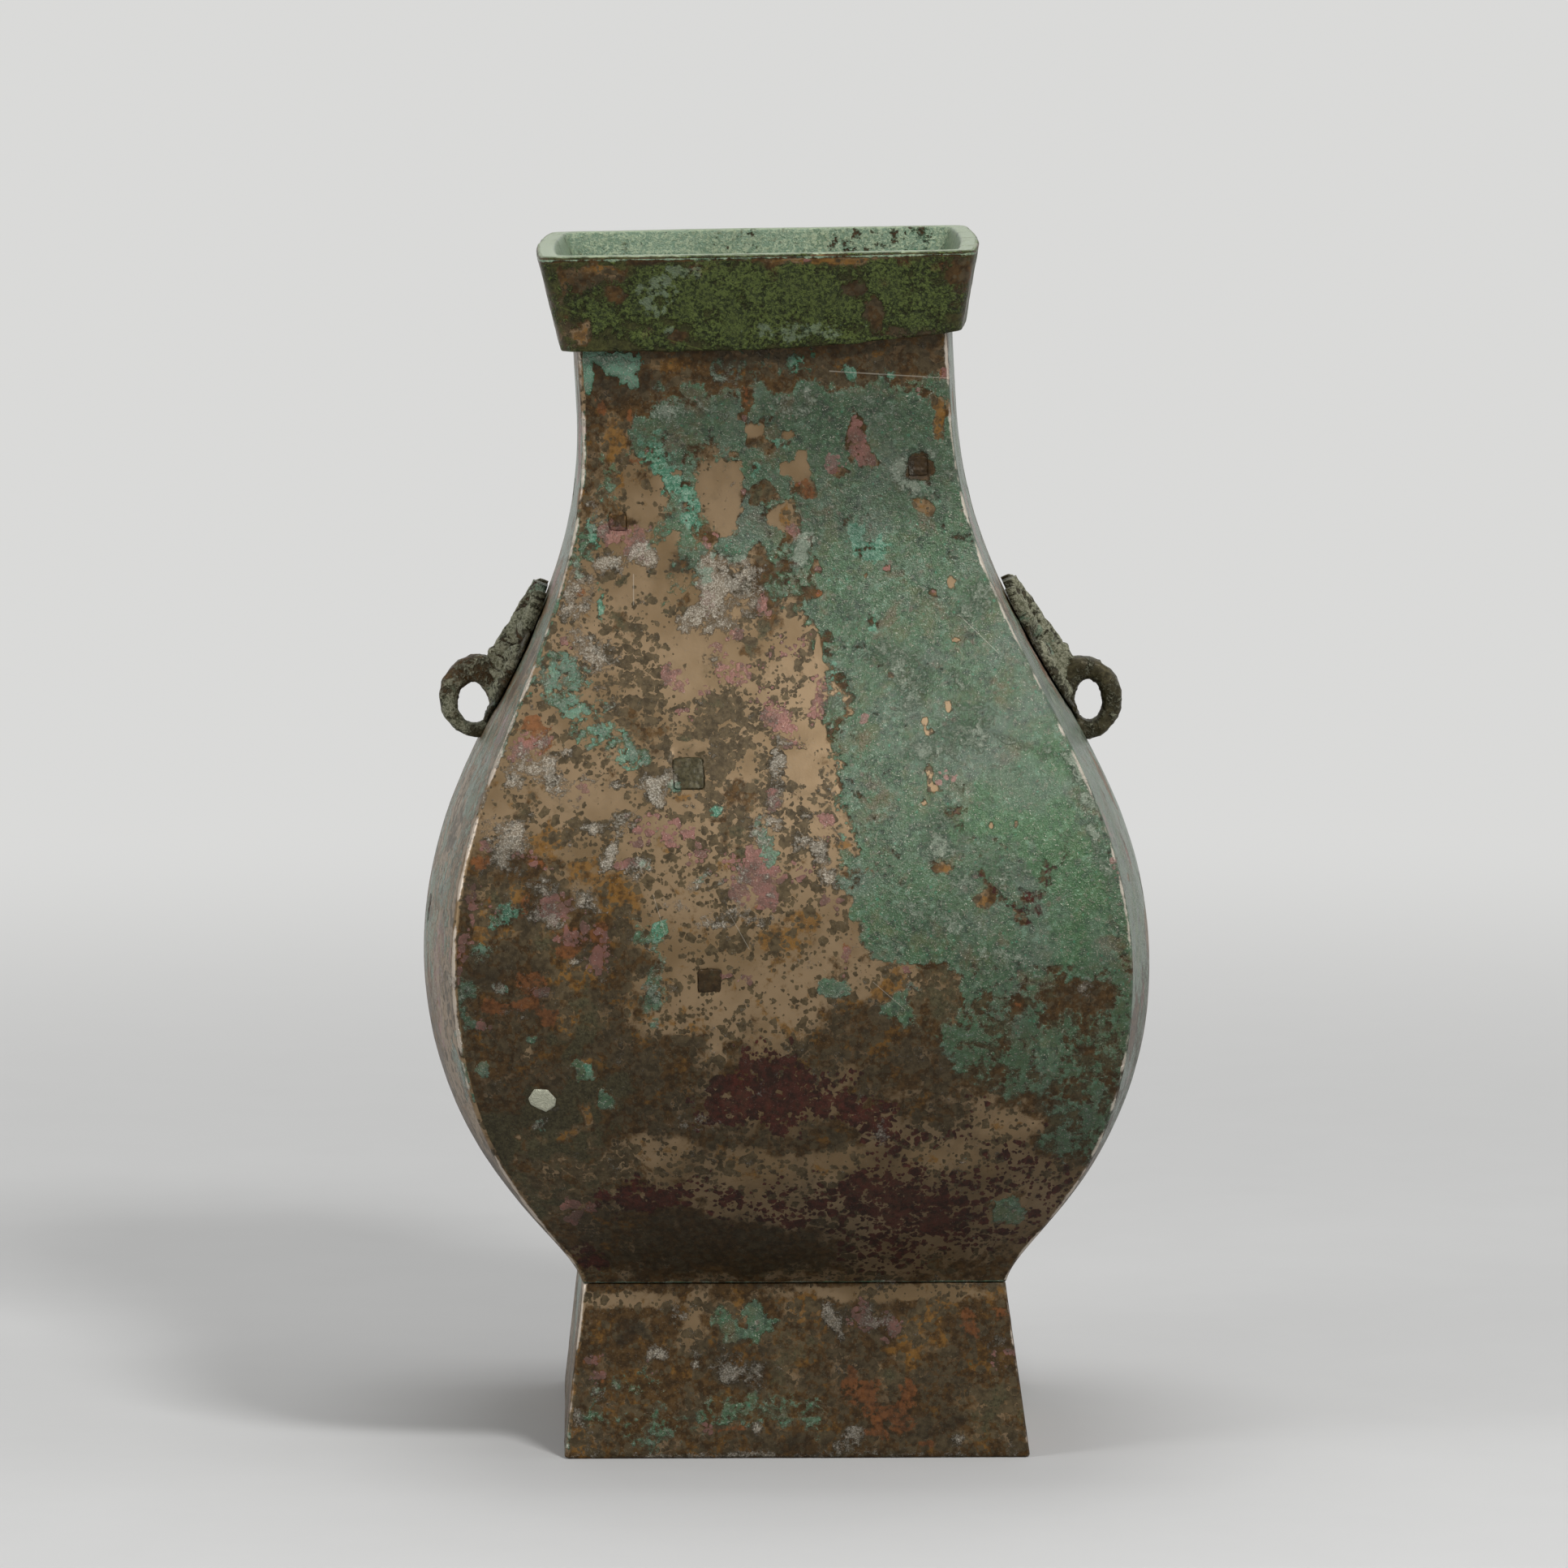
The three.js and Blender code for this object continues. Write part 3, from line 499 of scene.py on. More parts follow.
def relief(points, fields, crust_height=CRUST_HEIGHT):
    """How far the surface stands out in millimetres: dents, lumpy crusts and eaten spots."""
    dents = fractal(points, DENT_SIZE, 2, 1.0, 5.0)
    lumps = fractal(points, LUMP_SIZE, 2, 0.8, 9.0)
    grown = fields["crust"] + 0.3 * fields["green"] + 0.3 * fields["olive"] + 0.2 * fields["pink"]
    rough = np.clip(grown, 0, 1.2)
    eaten = np.clip(fields["dark"] + 0.5 * fields["spots"], 0, 1) * smooth(lumps, 0.1, 0.4)
    return DENT_DEPTH * dents + rough * (CRUST_RISE + crust_height * lumps) - EATEN_DEPTH * eaten - SKIN_INSET


def broken_wear_and_highlight(points, worn, shift):
    """A pale ridge line, partly worn metal and partly a painted highlight, that comes and goes."""
    return worn * (0.8 + 1.4 * fractal(points, 11, 3, 0.8, shift))


def on_columns(rows, columns):
    """Arrays with one value for each row, spread over all the columns."""
    return (np.array(values)[:, None] + np.zeros(len(columns.share)) for values in zip(*rows))


# Body wall: a fine skin outside, a plainer one inside

FRONT_COLUMNS, OTHER_COLUMNS = 150, 98
FRONT_SPACING, OTHER_SPACING = 1.5, 2.0
OUTER_ROWS, INNER_ROWS = 166, 42
BASE_INSET = 0.25
RIDGE_ROUND = 1.8
RIDGE_INSET = 0.12
# How pale each ridge is painted, from the front right one round to the front left one: worn metal, with a
# painted highlight that makes the front left ridge palest
RIDGE_WEAR_AND_HIGHLIGHT = np.array([0.7, 0.55, 0.6, 0.85])
POCKET_DEPTH = 1.0
POCKET_EDGE = 0.12
POCKET_CREASE = 40
POCKET_PULL = 0.75
# Heights where the darkening towards the bottom of the belly starts and where it is full; it is mostly
# painted shade, partly darker patina
LOW_SHADE_AND_PATINA_TOP, LOW_SHADE_AND_PATINA_FULL = 150, 75
BODY_REACH = WIDEST_HALF + WIDEST_BULGE - 0.15


def even_levels(low, high, count):
    """Heights evenly spaced along the curved middle of a wall."""
    z = np.linspace(low, high, 600)
    length = np.concatenate([[0], np.cumsum(np.hypot(np.diff(z), np.diff(middle_at(z))))])
    return np.interp(np.linspace(0, length[-1], count), length, z)


def press_pocket(across, z, columns, rows, wall, place, spacing):
    """Fits the grid to a square pocket's edge and returns the points inside it."""
    x0, rise, side = place
    z0, half = FOOT_HEIGHT + rise, side / 2
    here = np.zeros(across.shape, bool)
    here[rows] = (columns.turn == wall) & (columns.bend < 0)
    dx, dz = across - x0, z - z0
    far = np.maximum(np.maximum(abs(dx), abs(dz)), 1e-6)
    near_edge = here & (abs(far - half) < POCKET_PULL * spacing)
    goal = np.where(far < half, half - POCKET_EDGE, half + POCKET_EDGE)
    stretch = np.where(near_edge, goal / far, 1)
    across[:] = x0 + dx * stretch
    z[:] = z0 + dz * stretch
    return here & (far < half)


def body_wall():
    columns = Columns([FRONT_COLUMNS, OTHER_COLUMNS, OTHER_COLUMNS, OTHER_COLUMNS])
    outer = even_levels(BODY_BASE + 0.4, COLLAR_BASE + 1, OUTER_ROWS)
    inner = np.linspace(SPIGOT_TOP, BODY_BASE, INNER_ROWS)
    levels = np.concatenate([[BODY_BASE - 0.2], outer, [SPIGOT_TOP], inner])
    inset = np.concatenate([[BASE_INSET], np.zeros(OUTER_ROWS + 1), np.full(INNER_ROWS, WALL)])
    z = np.repeat(levels[:, None], len(columns.share), 1)
    outside = slice(0, OUTER_ROWS + 1)
    across = columns.across(ridge_at(z) - inset[:, None], RIDGE_ROUND)
    pocket = np.zeros(z.shape, bool)
    for wall, name in enumerate(WALLS):
        spacing = OTHER_SPACING if wall else FRONT_SPACING
        for number, place in enumerate(SPACERS[name]):
            if f"spacer_{name}_{number + 1}" != PATCH:
                pocket |= press_pocket(across, z, columns, outside, wall, place, spacing)
    ridge = ridge_at(z) - inset[:, None]
    middle = np.maximum(ridge, middle_at(z) - inset[:, None])
    points = columns.place(across, ridge, middle, z, RIDGE_ROUND)
    normals = grid_normals(points)

    is_outside = (inset == 0)[:, None] & np.ones(z.shape, bool)
    on_ridge = (columns.bend >= 0)[None] & is_outside
    fields = start_fields(z.shape, tan=0.4, spots=0.35, ochre=0.15, dark=0.2)
    for wall in range(4):
        strokes = FRONT_STROKES
        if wall:
            strokes = HIDDEN_STROKES[wall] + random_strokes(40 + wall, 100, BODY_BASE, COLLAR_BASE, 0, 260)
        paint_part(fields, is_outside & (columns.turn == wall), across, z, strokes, wall)
    inside = ~is_outside
    strokes = random_strokes(61, 100, BODY_BASE, COLLAR_BASE, 30, 90)
    inner_levels = {"tan": 0.3, "spots": 0.3, "green": 0.75, "crust": 0.3, "dark": 0.2}
    paint_part(fields, inside, across + 30 * columns.turn, z, strokes, 9, **inner_levels)
    # Darker towards the bottom of the belly: mostly painted shade of the light falling off downwards, partly
    # darker patina
    fields["dark"] += 0.2 * smooth(-z, -LOW_SHADE_AND_PATINA_TOP, -LOW_SHADE_AND_PATINA_FULL) * is_outside
    # Pale ridges: partly worn metal, partly a painted highlight, strongest on the front left ridge
    worn = np.where(on_ridge, RIDGE_WEAR_AND_HIGHLIGHT[columns.turn] * (1 - abs(2 * columns.bend - 1))[None], 0)
    fields["wear_and_highlight"] = broken_wear_and_highlight(points, worn, 2.0)

    height = relief(points, fields)
    height = np.where(on_ridge, -RIDGE_INSET + 0.1 * fractal(points, 40, 2, 1.0, 8.0), height)
    height = np.where(pocket, -POCKET_DEPTH, height)
    height = np.where(inside, height * 0.8, height)
    height[[0, OUTER_ROWS + 1, OUTER_ROWS + 2]] = 0
    points = points + normals * height[..., None]
    points[..., :2] = np.clip(points[..., :2], -BODY_REACH, BODY_REACH)
    faces = grid_faces(*z.shape)
    skin = mesh_object("body_skin", settle(points), faces, fields, "body_wall")
    skin.data.set_sharp_from_angle(angle=math.radians(POCKET_CREASE))
    return skin


# Band round the mouth

COLLAR_COLUMNS, COLLAR_CORNER_COLUMNS = [130, 110, 110, 110], 9
COLLAR_OUTER_ROWS, COLLAR_INNER_ROWS = 26, 16
HEM_RISE = 4.6
HEM_LEVEL = 0.3
HEM_START = -5
COLLAR_CORNER = 5.0
COLLAR_CRUST_HEIGHT = 0.5
# How far in and up the hem's edge turns under, and how far in and down the rim's edge rounds over
HEM_EDGE = ((1.0, 0.0), (0.5, 0.1), (0.15, 0.45), (0.0, 1.0))
RIM_EDGE = (
    (0.12, 0.75), (0.45, 0.3), (0.9, 0.08), (1.4, 0.0), (2.4, 0.05),
    (3.6, 0.05), (4.6, 0.0), (5.1, 0.08), (5.6, 0.35), (5.9, 0.8),
)
RIM_ROUND = 1.4


def hem(x):
    """The lower edge of the collar lies level on the left and climbs on the right."""
    return HEM_LEVEL + HEM_RISE * (np.clip(x - HEM_START, 0, None) / (COLLAR_BASE_HALF - HEM_START)) ** 1.6


def mouth_collar():
    columns = Columns(COLLAR_COLUMNS, COLLAR_CORNER_COLUMNS)
    low, ledge = COLLAR_BASE + CLEARANCE, SPIGOT_TOP + CLEARANCE
    rows = []

    def row(ridge, middle, z, droop):
        rows.append((ridge, middle, z, droop))

    seat = lambda z, inset: (ridge_at(z) - inset, middle_at(z) - inset)
    ridge, middle = seat(low, -CLEARANCE)
    for share in (0.0, 0.5):
        reach = share * (COLLAR_BASE_HALF - 1 - ridge)
        row(ridge + reach, middle + reach, low, 1)
    for out, up in HEM_EDGE:
        row(COLLAR_BASE_HALF - out, COLLAR_BASE_HALF - out + COLLAR_BULGE, low + up, 1)
    for share in np.linspace(0, 1, COLLAR_OUTER_ROWS)[1:]:
        half = COLLAR_BASE_HALF + (RIM_HALF - COLLAR_BASE_HALF) * share
        row(half, half + COLLAR_BULGE, low + 1 + (RIM_LEVEL - 1.2 - low - 1) * share, 1 - share)
    for out, down in RIM_EDGE:
        row(RIM_HALF - out, RIM_HALF - out + COLLAR_BULGE, RIM_LEVEL - down, 0)
    inner = RIM_HALF - RIM_WALL
    ridge, middle = seat(ledge, WALL)
    for share in np.linspace(0, 1, COLLAR_INNER_ROWS)[1:]:
        row(inner + (ridge - inner) * share, inner + COLLAR_BULGE + (middle - inner - COLLAR_BULGE) * share,
            RIM_LEVEL - RIM_ROUND + (ledge - RIM_LEVEL + RIM_ROUND) * share, 0)
    row(*seat(ledge, -CLEARANCE), ledge, 0)
    ridge, middle, z, droop = on_columns(rows, columns)
    across = columns.across(ridge, COLLAR_CORNER)
    points = columns.place(across, ridge, middle, z, COLLAR_CORNER)
    points[..., 2] += droop * hem(points[..., 0])
    normals = grid_normals(points)

    face = (droop > 0) | ((z > RIM_LEVEL - 1) & (ridge > RIM_HALF - 1.2))
    fields = start_fields(z.shape, tan=0.3, green=0.6, crust=0.4, jade=0.7)
    outer_levels = {"tan": 0.3, "spots": 0.3, "olive": 0.8, "crust": 0.68, "dark": 0.1}
    for wall in range(4):
        strokes = COLLAR_FRONT_STROKES
        if wall:
            strokes = random_strokes(
                70 + wall, 66, COLLAR_BASE, RIM_LEVEL, 8, 60, CRUSTY_GROUNDS, MASK_GROWTHS,
            )
        here = face & (columns.turn == wall)
        paint_part(fields, here, across, points[..., 2], strokes, 20 + wall, **outer_levels)
    strokes = random_strokes(83, 66, SPIGOT_TOP, RIM_LEVEL + 2, 6, 50, ("thin_green", "jade"), MOUTH_GROWTHS)
    inner_levels = {"tan": 0.3, "green": 0.8, "jade": 0.85, "crust": 0.0}
    paint_part(fields, ~face, across + 25 * columns.turn, z, strokes, 29, **inner_levels)
    # Pale top of the rim: partly worn metal, partly a painted highlight of the light from above
    fields["wear_and_highlight"] = smooth(z, RIM_LEVEL - 0.7, RIM_LEVEL - 0.1) * 0.7
    height = relief(points, fields, COLLAR_CRUST_HEIGHT) * np.where(face, 1.0, 0.5)
    points = points + normals * height[..., None]
    points[..., 2] = np.minimum(points[..., 2], RIM_LEVEL)
    faces = grid_faces(*z.shape)
    return mesh_object("collar", settle(points), faces, fields, "mouth_collar")


# Flared foot

FOOT_COLUMNS = [110, 90, 90, 90]
FOOT_OUTER_ROWS, FOOT_INNER_ROWS = 34, 14
FOOT_CORNER = 1.8
# How pale each ridge of the foot is painted, in the same order: worn metal, with a painted highlight that
# makes the front left one palest
FOOT_WEAR_AND_HIGHLIGHT = np.array([0.5, 0.4, 0.5, 0.9])


def foot():
    columns = Columns(FOOT_COLUMNS)
    rows = []
    slope = (FOOT_BASE_HALF - FOOT_TOP_HALF) / FOOT_HEIGHT
    flange, under = FOOT_TOP_HALF - FLANGE_WIDTH, FOOT_HEIGHT - FLANGE_THICKNESS
    for share in np.linspace(0, 1, FOOT_OUTER_ROWS):
        z = 1.0 + (FOOT_HEIGHT - 1.5) * share
        rows.append((FOOT_BASE_HALF - slope * z - 0.1, z))
    rows += [(half, FOOT_HEIGHT) for half in (FOOT_TOP_HALF - 0.5, FOOT_TOP_HALF - 4, flange)]
    rows.append((flange, under))
    for share in np.linspace(0, 1, FOOT_INNER_ROWS):
        z = under + (0.8 - under) * share
        rows.append((FOOT_BASE_HALF - slope * z - FOOT_WALL, z))
    rows += [(FOOT_BASE_HALF - inset, 0) for inset in (FOOT_WALL - 0.7, 2, 1.2)]
    rows.append((FOOT_BASE_HALF - 0.4, 0.35))
    half, z = on_columns(rows, columns)
    across = columns.across(half, FOOT_CORNER)
    points = columns.place(across, half, half, z, FOOT_CORNER)
    normals = grid_normals(points)
    outside = half > FOOT_BASE_HALF - slope * z - 1.5
    fields = start_fields(z.shape, tan=0.3, spots=0.3, green=0.5, dark=0.3, ochre=0.3)
    levels = {"tan": 0.35, "spots": 0.35, "ochre": 0.3, "dark": 0.25}
    for wall in range(4):
        strokes = FOOT_FRONT_STROKES if wall == 0 else random_strokes(90 + wall, 72, 0, FOOT_HEIGHT, 12, 80)
        paint_part(fields, outside & (columns.turn == wall), across, z, strokes, 30 + wall, **levels)
    # Pale foot ridges: partly worn metal, partly a painted highlight
    worn = FOOT_WEAR_AND_HIGHLIGHT[columns.turn] * (1 - abs(2 * columns.bend - 1)) * (columns.bend >= 0)
    fields["wear_and_highlight"] = broken_wear_and_highlight(points, worn[None] * outside, 4.0)
    height = relief(points, fields) * np.where(outside, 1, 0.8)
    points = points + normals * height[..., None]
    points[..., 2] = np.where(z == 0, 0, np.clip(points[..., 2], 0.0, FOOT_HEIGHT))
    return mesh_object("foot_skin", settle(points), grid_faces(*z.shape), fields, "foot")


# Sheets with a front and a back, stitched round their edge

def closed_sheet(front, back, quads):
    """Points and faces of a sheet: front and back points, and quads into the front points."""
    count = len(front)
    edges = np.concatenate([quads[:, [i, (i + 1) % 4]] for i in range(4)])
    known = {(a, b) for a, b in edges.tolist()}
    rim = np.array([(a, b) for a, b in edges.tolist() if (b, a) not in known])
    sides = np.stack([rim[:, 1], rim[:, 0], rim[:, 0] + count, rim[:, 1] + count], -1)
    return np.concatenate([front, back]), np.concatenate([quads, quads[:, ::-1] + count, sides])


def doubled(fields):
    return {name: np.concatenate([values, values]) for name, values in fields.items()}


def grid_quads(rows, columns):
    index = np.arange(rows * columns).reshape(rows, columns)
    return np.stack([index[:-1, :-1], index[:-1, 1:], index[1:, 1:], index[1:, :-1]], -1).reshape(-1, 4)


def floor_plate():
    """Floor of the belly, pitted and green."""
    half = BODY_BASE_HALF - WALL - CLEARANCE
    count = 80
    side = np.linspace(-half, half, count)
    x, y = np.meshgrid(side, side)
    top = np.stack([x, y, np.full_like(x, BODY_BASE + FLOOR_THICKNESS)], -1).reshape(-1, 3)
    fields = start_fields(len(top), tan=0.3, spots=0.3, green=0.8, crust=0.4, dark=0.2)
    paint(fields, top[:, 0], top[:, 1], random_strokes(111, half, -half, half, 8, 60), 41)
    top[:, 2] += 1.4 * relief(top, fields) - 0.1
    bottom = np.stack([top[:, 0], top[:, 1], np.full(len(top), BODY_BASE)], -1)
    points, faces = closed_sheet(top, bottom, grid_quads(count, count))
    return mesh_object("floor_skin", settle(points), faces, doubled(fields), "floor_plate")


# Core spacers

def wall_point(across, z):
    """Places on the front wall's outer face."""
    ridge, middle = ridge_at(z), middle_at(z)
    out = middle + (ridge - middle) * (across / ridge) ** 2
    return np.stack([across, -out, z], -1)


def wall_face(across, z):
    """Places on the front wall's outer face, and the way that it faces at each."""
    face = wall_point(across, z)
    out = np.cross(np.array([1.0, 0, 0]), wall_point(across, z + 1) - face)
    return face, out / np.linalg.norm(out, axis=-1, keepdims=True)


def turned(points, wall):
    cos, sin = math.cos(wall * math.pi / 2), math.sin(wall * math.pi / 2)
    x, y, z = np.moveaxis(points, -1, 0)
    return np.stack([x * cos - y * sin, x * sin + y * cos, z], -1)


SPACER_GAP = 0.06
SPACER_SINK = 0.35
SPACER_ROUND = 0.1
SPACER_LOOKS = {
    "spacer_front_1": {"olive": 0.75, "dark": 0.25, "spots": 0.4},
    "spacer_front_2": {"dark": 0.75, "olive": 0.4},
    "spacer_front_3": {"dark": 1.0},
    "spacer_front_4": {"dark": 0.55, "ochre": 0.5, "tan": 0.3},
    "spacer_front_5": {"crust": 1.0, "tan": 0.3, "wear_and_highlight": 1.0},
}
SPACER_SINKS = {"spacer_front_1": 0.4, "spacer_front_2": 0.3, "spacer_front_3": 0.75, "spacer_front_4": 0.5}
PATCH = "spacer_front_5"
PATCH_CORNERS = [
    (4.1, 0.6), (1.6, 3.5), (-2.4, 3.6), (-4.3, 0.5),
    (-3.6, -1.4), (-1.2, -2.7), (1.0, -3.7), (3.8, -1.7),
]
OVERGROWTH = ("crust", "frost", "chalk", "mint", "jade", "pink", "rosy")


def patch_outline(u, v):
    """Moves a square's places, from -1 to 1, to fill the outline of the pale metal patch."""
    angle = np.arctan2(v, u)
    reach = np.full(u.shape, 99.0)
    for (ax, ay), (bx, by) in zip(PATCH_CORNERS, PATCH_CORNERS[1:] + PATCH_CORNERS[:1]):
        out_x, out_y = by - ay, ax - bx
        facing = out_x * np.cos(angle) + out_y * np.sin(angle)
        edge = (out_x * ax + out_y * ay) / np.maximum(facing, 1e-6)
        reach = np.where(facing > 1e-6, np.minimum(reach, edge), reach)
    size = np.maximum(abs(u), abs(v)) * reach
    return size * np.cos(angle), size * np.sin(angle)


def core_spacer(name, wall, place, number):
    """A rough little plug that fills its pocket in the wall."""
    x0, rise, side = place
    z0, half, count = FOOT_HEIGHT + rise, side / 2 - SPACER_GAP, 20
    steps = np.linspace(-1, 1, count)
    u, v = np.meshgrid(steps, steps)
    if name == PATCH:
        across, high = patch_outline(u, v)
        across, z = x0 + across, z0 + high
    else:
        corner = SPACER_ROUND * np.minimum(abs(u), abs(v)) ** 3
        across, z = x0 + half * u * (1 - corner), z0 + half * v * (1 - corner)
    face, out = wall_face(across, z)
    rough = fractal(face, 2.8, 4, 0.6, 3.0 + number)
    edge = np.maximum(abs(u), abs(v)) ** 12
    if name == PATCH:
        lift = 0.06 + 0.04 * rough - 0.3 * edge
    else:
        lift = 0.35 * rough - SPACER_SINKS.get(name, SPACER_SINK) - 0.15 * edge
    front = (face + out * lift[..., None]).reshape(-1, 3)
    back = (face - out * (POCKET_DEPTH - 0.05)).reshape(-1, 3)
    fields = start_fields(len(front), **SPACER_LOOKS.get(name, {"dark": 0.5, "olive": 0.5, "tan": 0.2}))
    if wall == 0 and name != PATCH:
        paint(fields, across.reshape(-1), z.reshape(-1), [s for s in FRONT_STROKES if s[0] in OVERGROWTH], 0)
    points, faces = closed_sheet(front, back, grid_quads(count, count))
    return mesh_object(name, settle(turned(points, wall)), faces, doubled(fields), name)


# Animal masks

MASK_HEIGHT = 48
MASK_WIDTH = 52
MASK_ABOVE_WIDEST = 87
LOOP_ABOVE_WIDEST = 72.2
LOOP_HEIGHT = 22.5
LOOP_REACH = 18.2
LOOP_WIDTH = 8
HOLE_WIDTH = 9.4
HOLE_HEIGHT = 12.6
MASK_RELIEF = 3.0
MASK_CELL = 0.7
MASK_UPRIGHT = 0.9
MASK_EDGE, MASK_SWELL = 0.9, 0.7
EYE_ACROSS, EYE_LEVEL, EYE_HALF, EYE_RISE = 10, 0.475, 4.2, 3.6
NOSE_HALF, NOSE_TOP, NOSE_TIP = 4.4, 5, 9
# Half the width and the height of the mask's ridges
BROW_RIDGE, JOWL_RIDGE, MUZZLE_RIDGE = (2.8, 3.1), (2.4, 2.3), (2.0, 1.6)
GROOVE_SPACING, GROOVE_DEPTH = 2.2, 0.35
MASK_HALF_OUTLINE = [
    (0.2, 0.0), (0.34, 0.1), (0.56, 0.13), (0.8, 0.26), (0.92, 0.44), (1.0, 0.58),
    (0.9, 0.67), (0.97, 0.84), (0.82, 0.97), (0.56, 0.94), (0.36, 0.84), (0.14, 0.98),
]
BROW = [
    (0.1, 0.57), (0.3, 0.67), (0.6, 0.68), (0.84, 0.74),
    (0.9, 0.85), (0.78, 0.92), (0.64, 0.89), (0.66, 0.81),
]
JOWL = [(0.22, 0.2), (0.5, 0.21), (0.74, 0.31), (0.85, 0.45), (0.74, 0.53), (0.62, 0.47)]
MUZZLE = [(0.0, 0.3), (0.16, 0.27), (0.24, 0.35), (0.16, 0.42)]


def polyline_distance(u, v, points, closed=False):
    """Distance to a chain of points, and whether a place lies inside the chain."""
    best = np.full(u.shape, 1e9)
    inside = np.zeros(u.shape, bool)
    ends = zip(points, points[1:] + points[:1]) if closed else zip(points, points[1:])
    for (ax, ay), (bx, by) in ends:
        dx, dy = bx - ax, by - ay
        t = np.clip(((u - ax) * dx + (v - ay) * dy) / (dx * dx + dy * dy), 0, 1)
        best = np.minimum(best, np.hypot(u - ax - t * dx, v - ay - t * dy))
        crosses = (ay > v) != (by > v)
        inside ^= crosses & (u < ax + (v - ay) * dx / (dy if dy else 1e-9))
    return best, inside


def mask_places(points):
    return [(u * MASK_WIDTH / 2, v * MASK_HEIGHT) for u, v in points]


def bead(distance, width, height):
    """Height of a rounded ridge beside its middle line."""
    return height * np.sqrt(np.clip(1 - (distance / width) ** 2, 0, 1))


def mask_relief(u, v):
    """How far the mask stands out from the wall, in its own frame, and which places lie on it."""
    side = abs(u)
    outline = mask_places(MASK_HALF_OUTLINE)
    half_outline = [(0.0, outline[0][1]), *outline, (0.0, outline[-1][1])]
    distance, inside = polyline_distance(side, v, half_outline, True)
    height = MASK_EDGE + MASK_SWELL * smooth(distance, 0, 1.6)
    to_brow = polyline_distance(side, v, mask_places(BROW))[0]
    height += bead(to_brow, *BROW_RIDGE)
    height += bead(polyline_distance(side, v, mask_places(JOWL))[0], *JOWL_RIDGE)
    eye = np.hypot(side - EYE_ACROSS, (v - EYE_LEVEL * MASK_HEIGHT) * 1.15)
    height = np.maximum(height, 1.2 + bead(eye, EYE_HALF, EYE_RISE))
    height -= 0.6 * bead(eye - EYE_HALF - 0.8, 0.8, 1.0)
    nose = smooth(v, 0.2 * MASK_HEIGHT, 0.34 * MASK_HEIGHT)
    top = NOSE_TOP + (NOSE_TIP - NOSE_TOP) * np.clip((MASK_HEIGHT - v) / (0.58 * MASK_HEIGHT), 0, 1)
    ridge = top * nose * np.sqrt(np.clip(1 - (side / NOSE_HALF) ** 4, 0, 1))
    height = np.maximum(height, ridge)
    height += bead(polyline_distance(side, v, mask_places(MUZZLE))[0], *MUZZLE_RIDGE)
    groove = 0.5 + 0.5 * np.cos(2 * math.pi * (to_brow - 3.6) / GROOVE_SPACING)
    height -= GROOVE_DEPTH * groove * smooth(distance, 0.8, 1.8) * (ridge < 1)
    return height, inside


def mask_skin():
    """The mask as a closed sheet that follows the right wall, in millimetres, before the jar's lean, with the
    painted shade of its hollows.
    """
    across = np.arange(-MASK_WIDTH / 2, MASK_WIDTH / 2 + MASK_CELL, MASK_CELL)
    up = np.arange(0, MASK_HEIGHT + MASK_CELL, MASK_CELL)
    u, v = np.meshgrid(across, up)
    height, inside = mask_relief(u, v)
    quads = grid_quads(len(up), len(across))
    quads = quads[inside.reshape(-1)[quads].sum(1) >= 3]
    used, quads = np.unique(quads, return_inverse=True)
    quads = quads.reshape(-1, 4)
    u, v, height = (values.reshape(-1)[used] for values in (u, v, height))
    wall, out = wall_face(u, WIDEST_LEVEL + MASK_ABOVE_WIDEST + (v - MASK_HEIGHT / 2) * MASK_UPRIGHT)
    worn = fractal(wall, 3.4, 4, 0.6, 13.0)
    lumps = fractal(wall, 9, 3, 0.8, 17.0)
    pits_and_shade = smooth(-worn, 0.2, 0.45)
    front = wall + out * np.maximum(height + 0.34 * worn + 0.3 * lumps - 0.5 * pits_and_shade, 0.8)[:, None]
    # Painted shade in the mask's low places and pits
    recess_shade = smooth(2.9 - height, 0, 1.3)
    back = wall + out * (CLEARANCE + 0.1)
    points, faces = closed_sheet(front, back, quads)
    shaded = np.maximum(0.55 * recess_shade, 0.6 * pits_and_shade)
    return points, faces, np.concatenate([shaded, shaded])


# Each loop's rise above and fall below the plain oval, and half the width of its hole
LOOP_SHAPES = {"mask_left": (3.0, 0.6, 4.7), "mask_right": (1.2, 2.2, 4.0)}
HOLE_DROP = 1.0


def loop_skin(name):
    """The nose loop as a closed band, in the same place and frame as the mask."""
    above, below, hole_half = LOOP_SHAPES[name]
    z = WIDEST_LEVEL + LOOP_ABOVE_WIDEST
    wall = float(middle_at(z))
    around, section = 90, 20
    angle = np.linspace(0, 2 * math.pi, around, endpoint=False)[:, None]
    turn = np.linspace(0, 2 * math.pi, section, endpoint=False)[None]
    rise = LOOP_HEIGHT / 2 + np.where(np.sin(angle) > 0, above, below)
    outer = np.stack([wall + LOOP_REACH * (0.3 + 0.7 * np.cos(angle)), z + rise * np.sin(angle)], -1)
    centre = wall + MASK_RELIEF + HOLE_WIDTH / 2
    hole = np.stack([centre + hole_half * np.cos(angle), z - HOLE_DROP + HOLE_HEIGHT / 2 * np.sin(angle)], -1)
    middle, half = (outer + hole) / 2, (outer - hole) / 2
    squared = lambda value: np.sign(value) * abs(value) ** 0.6
    radial = squared(np.cos(turn))[..., None] * half + middle
    axial = squared(np.sin(turn)) * LOOP_WIDTH / 2 * np.ones_like(angle)
    points = np.stack([axial, -radial[..., 0], radial[..., 1]], -1)
    rough = fractal(points, 3.5, 4, 0.6, 31.0)
    points = points + grid_normals(points) * (0.45 * rough - 0.1)[..., None]
    points[..., 1] = np.maximum(points[..., 1], -(wall + LOOP_REACH - 0.1))
    return points.reshape(-1, 3), grid_faces(around, section)


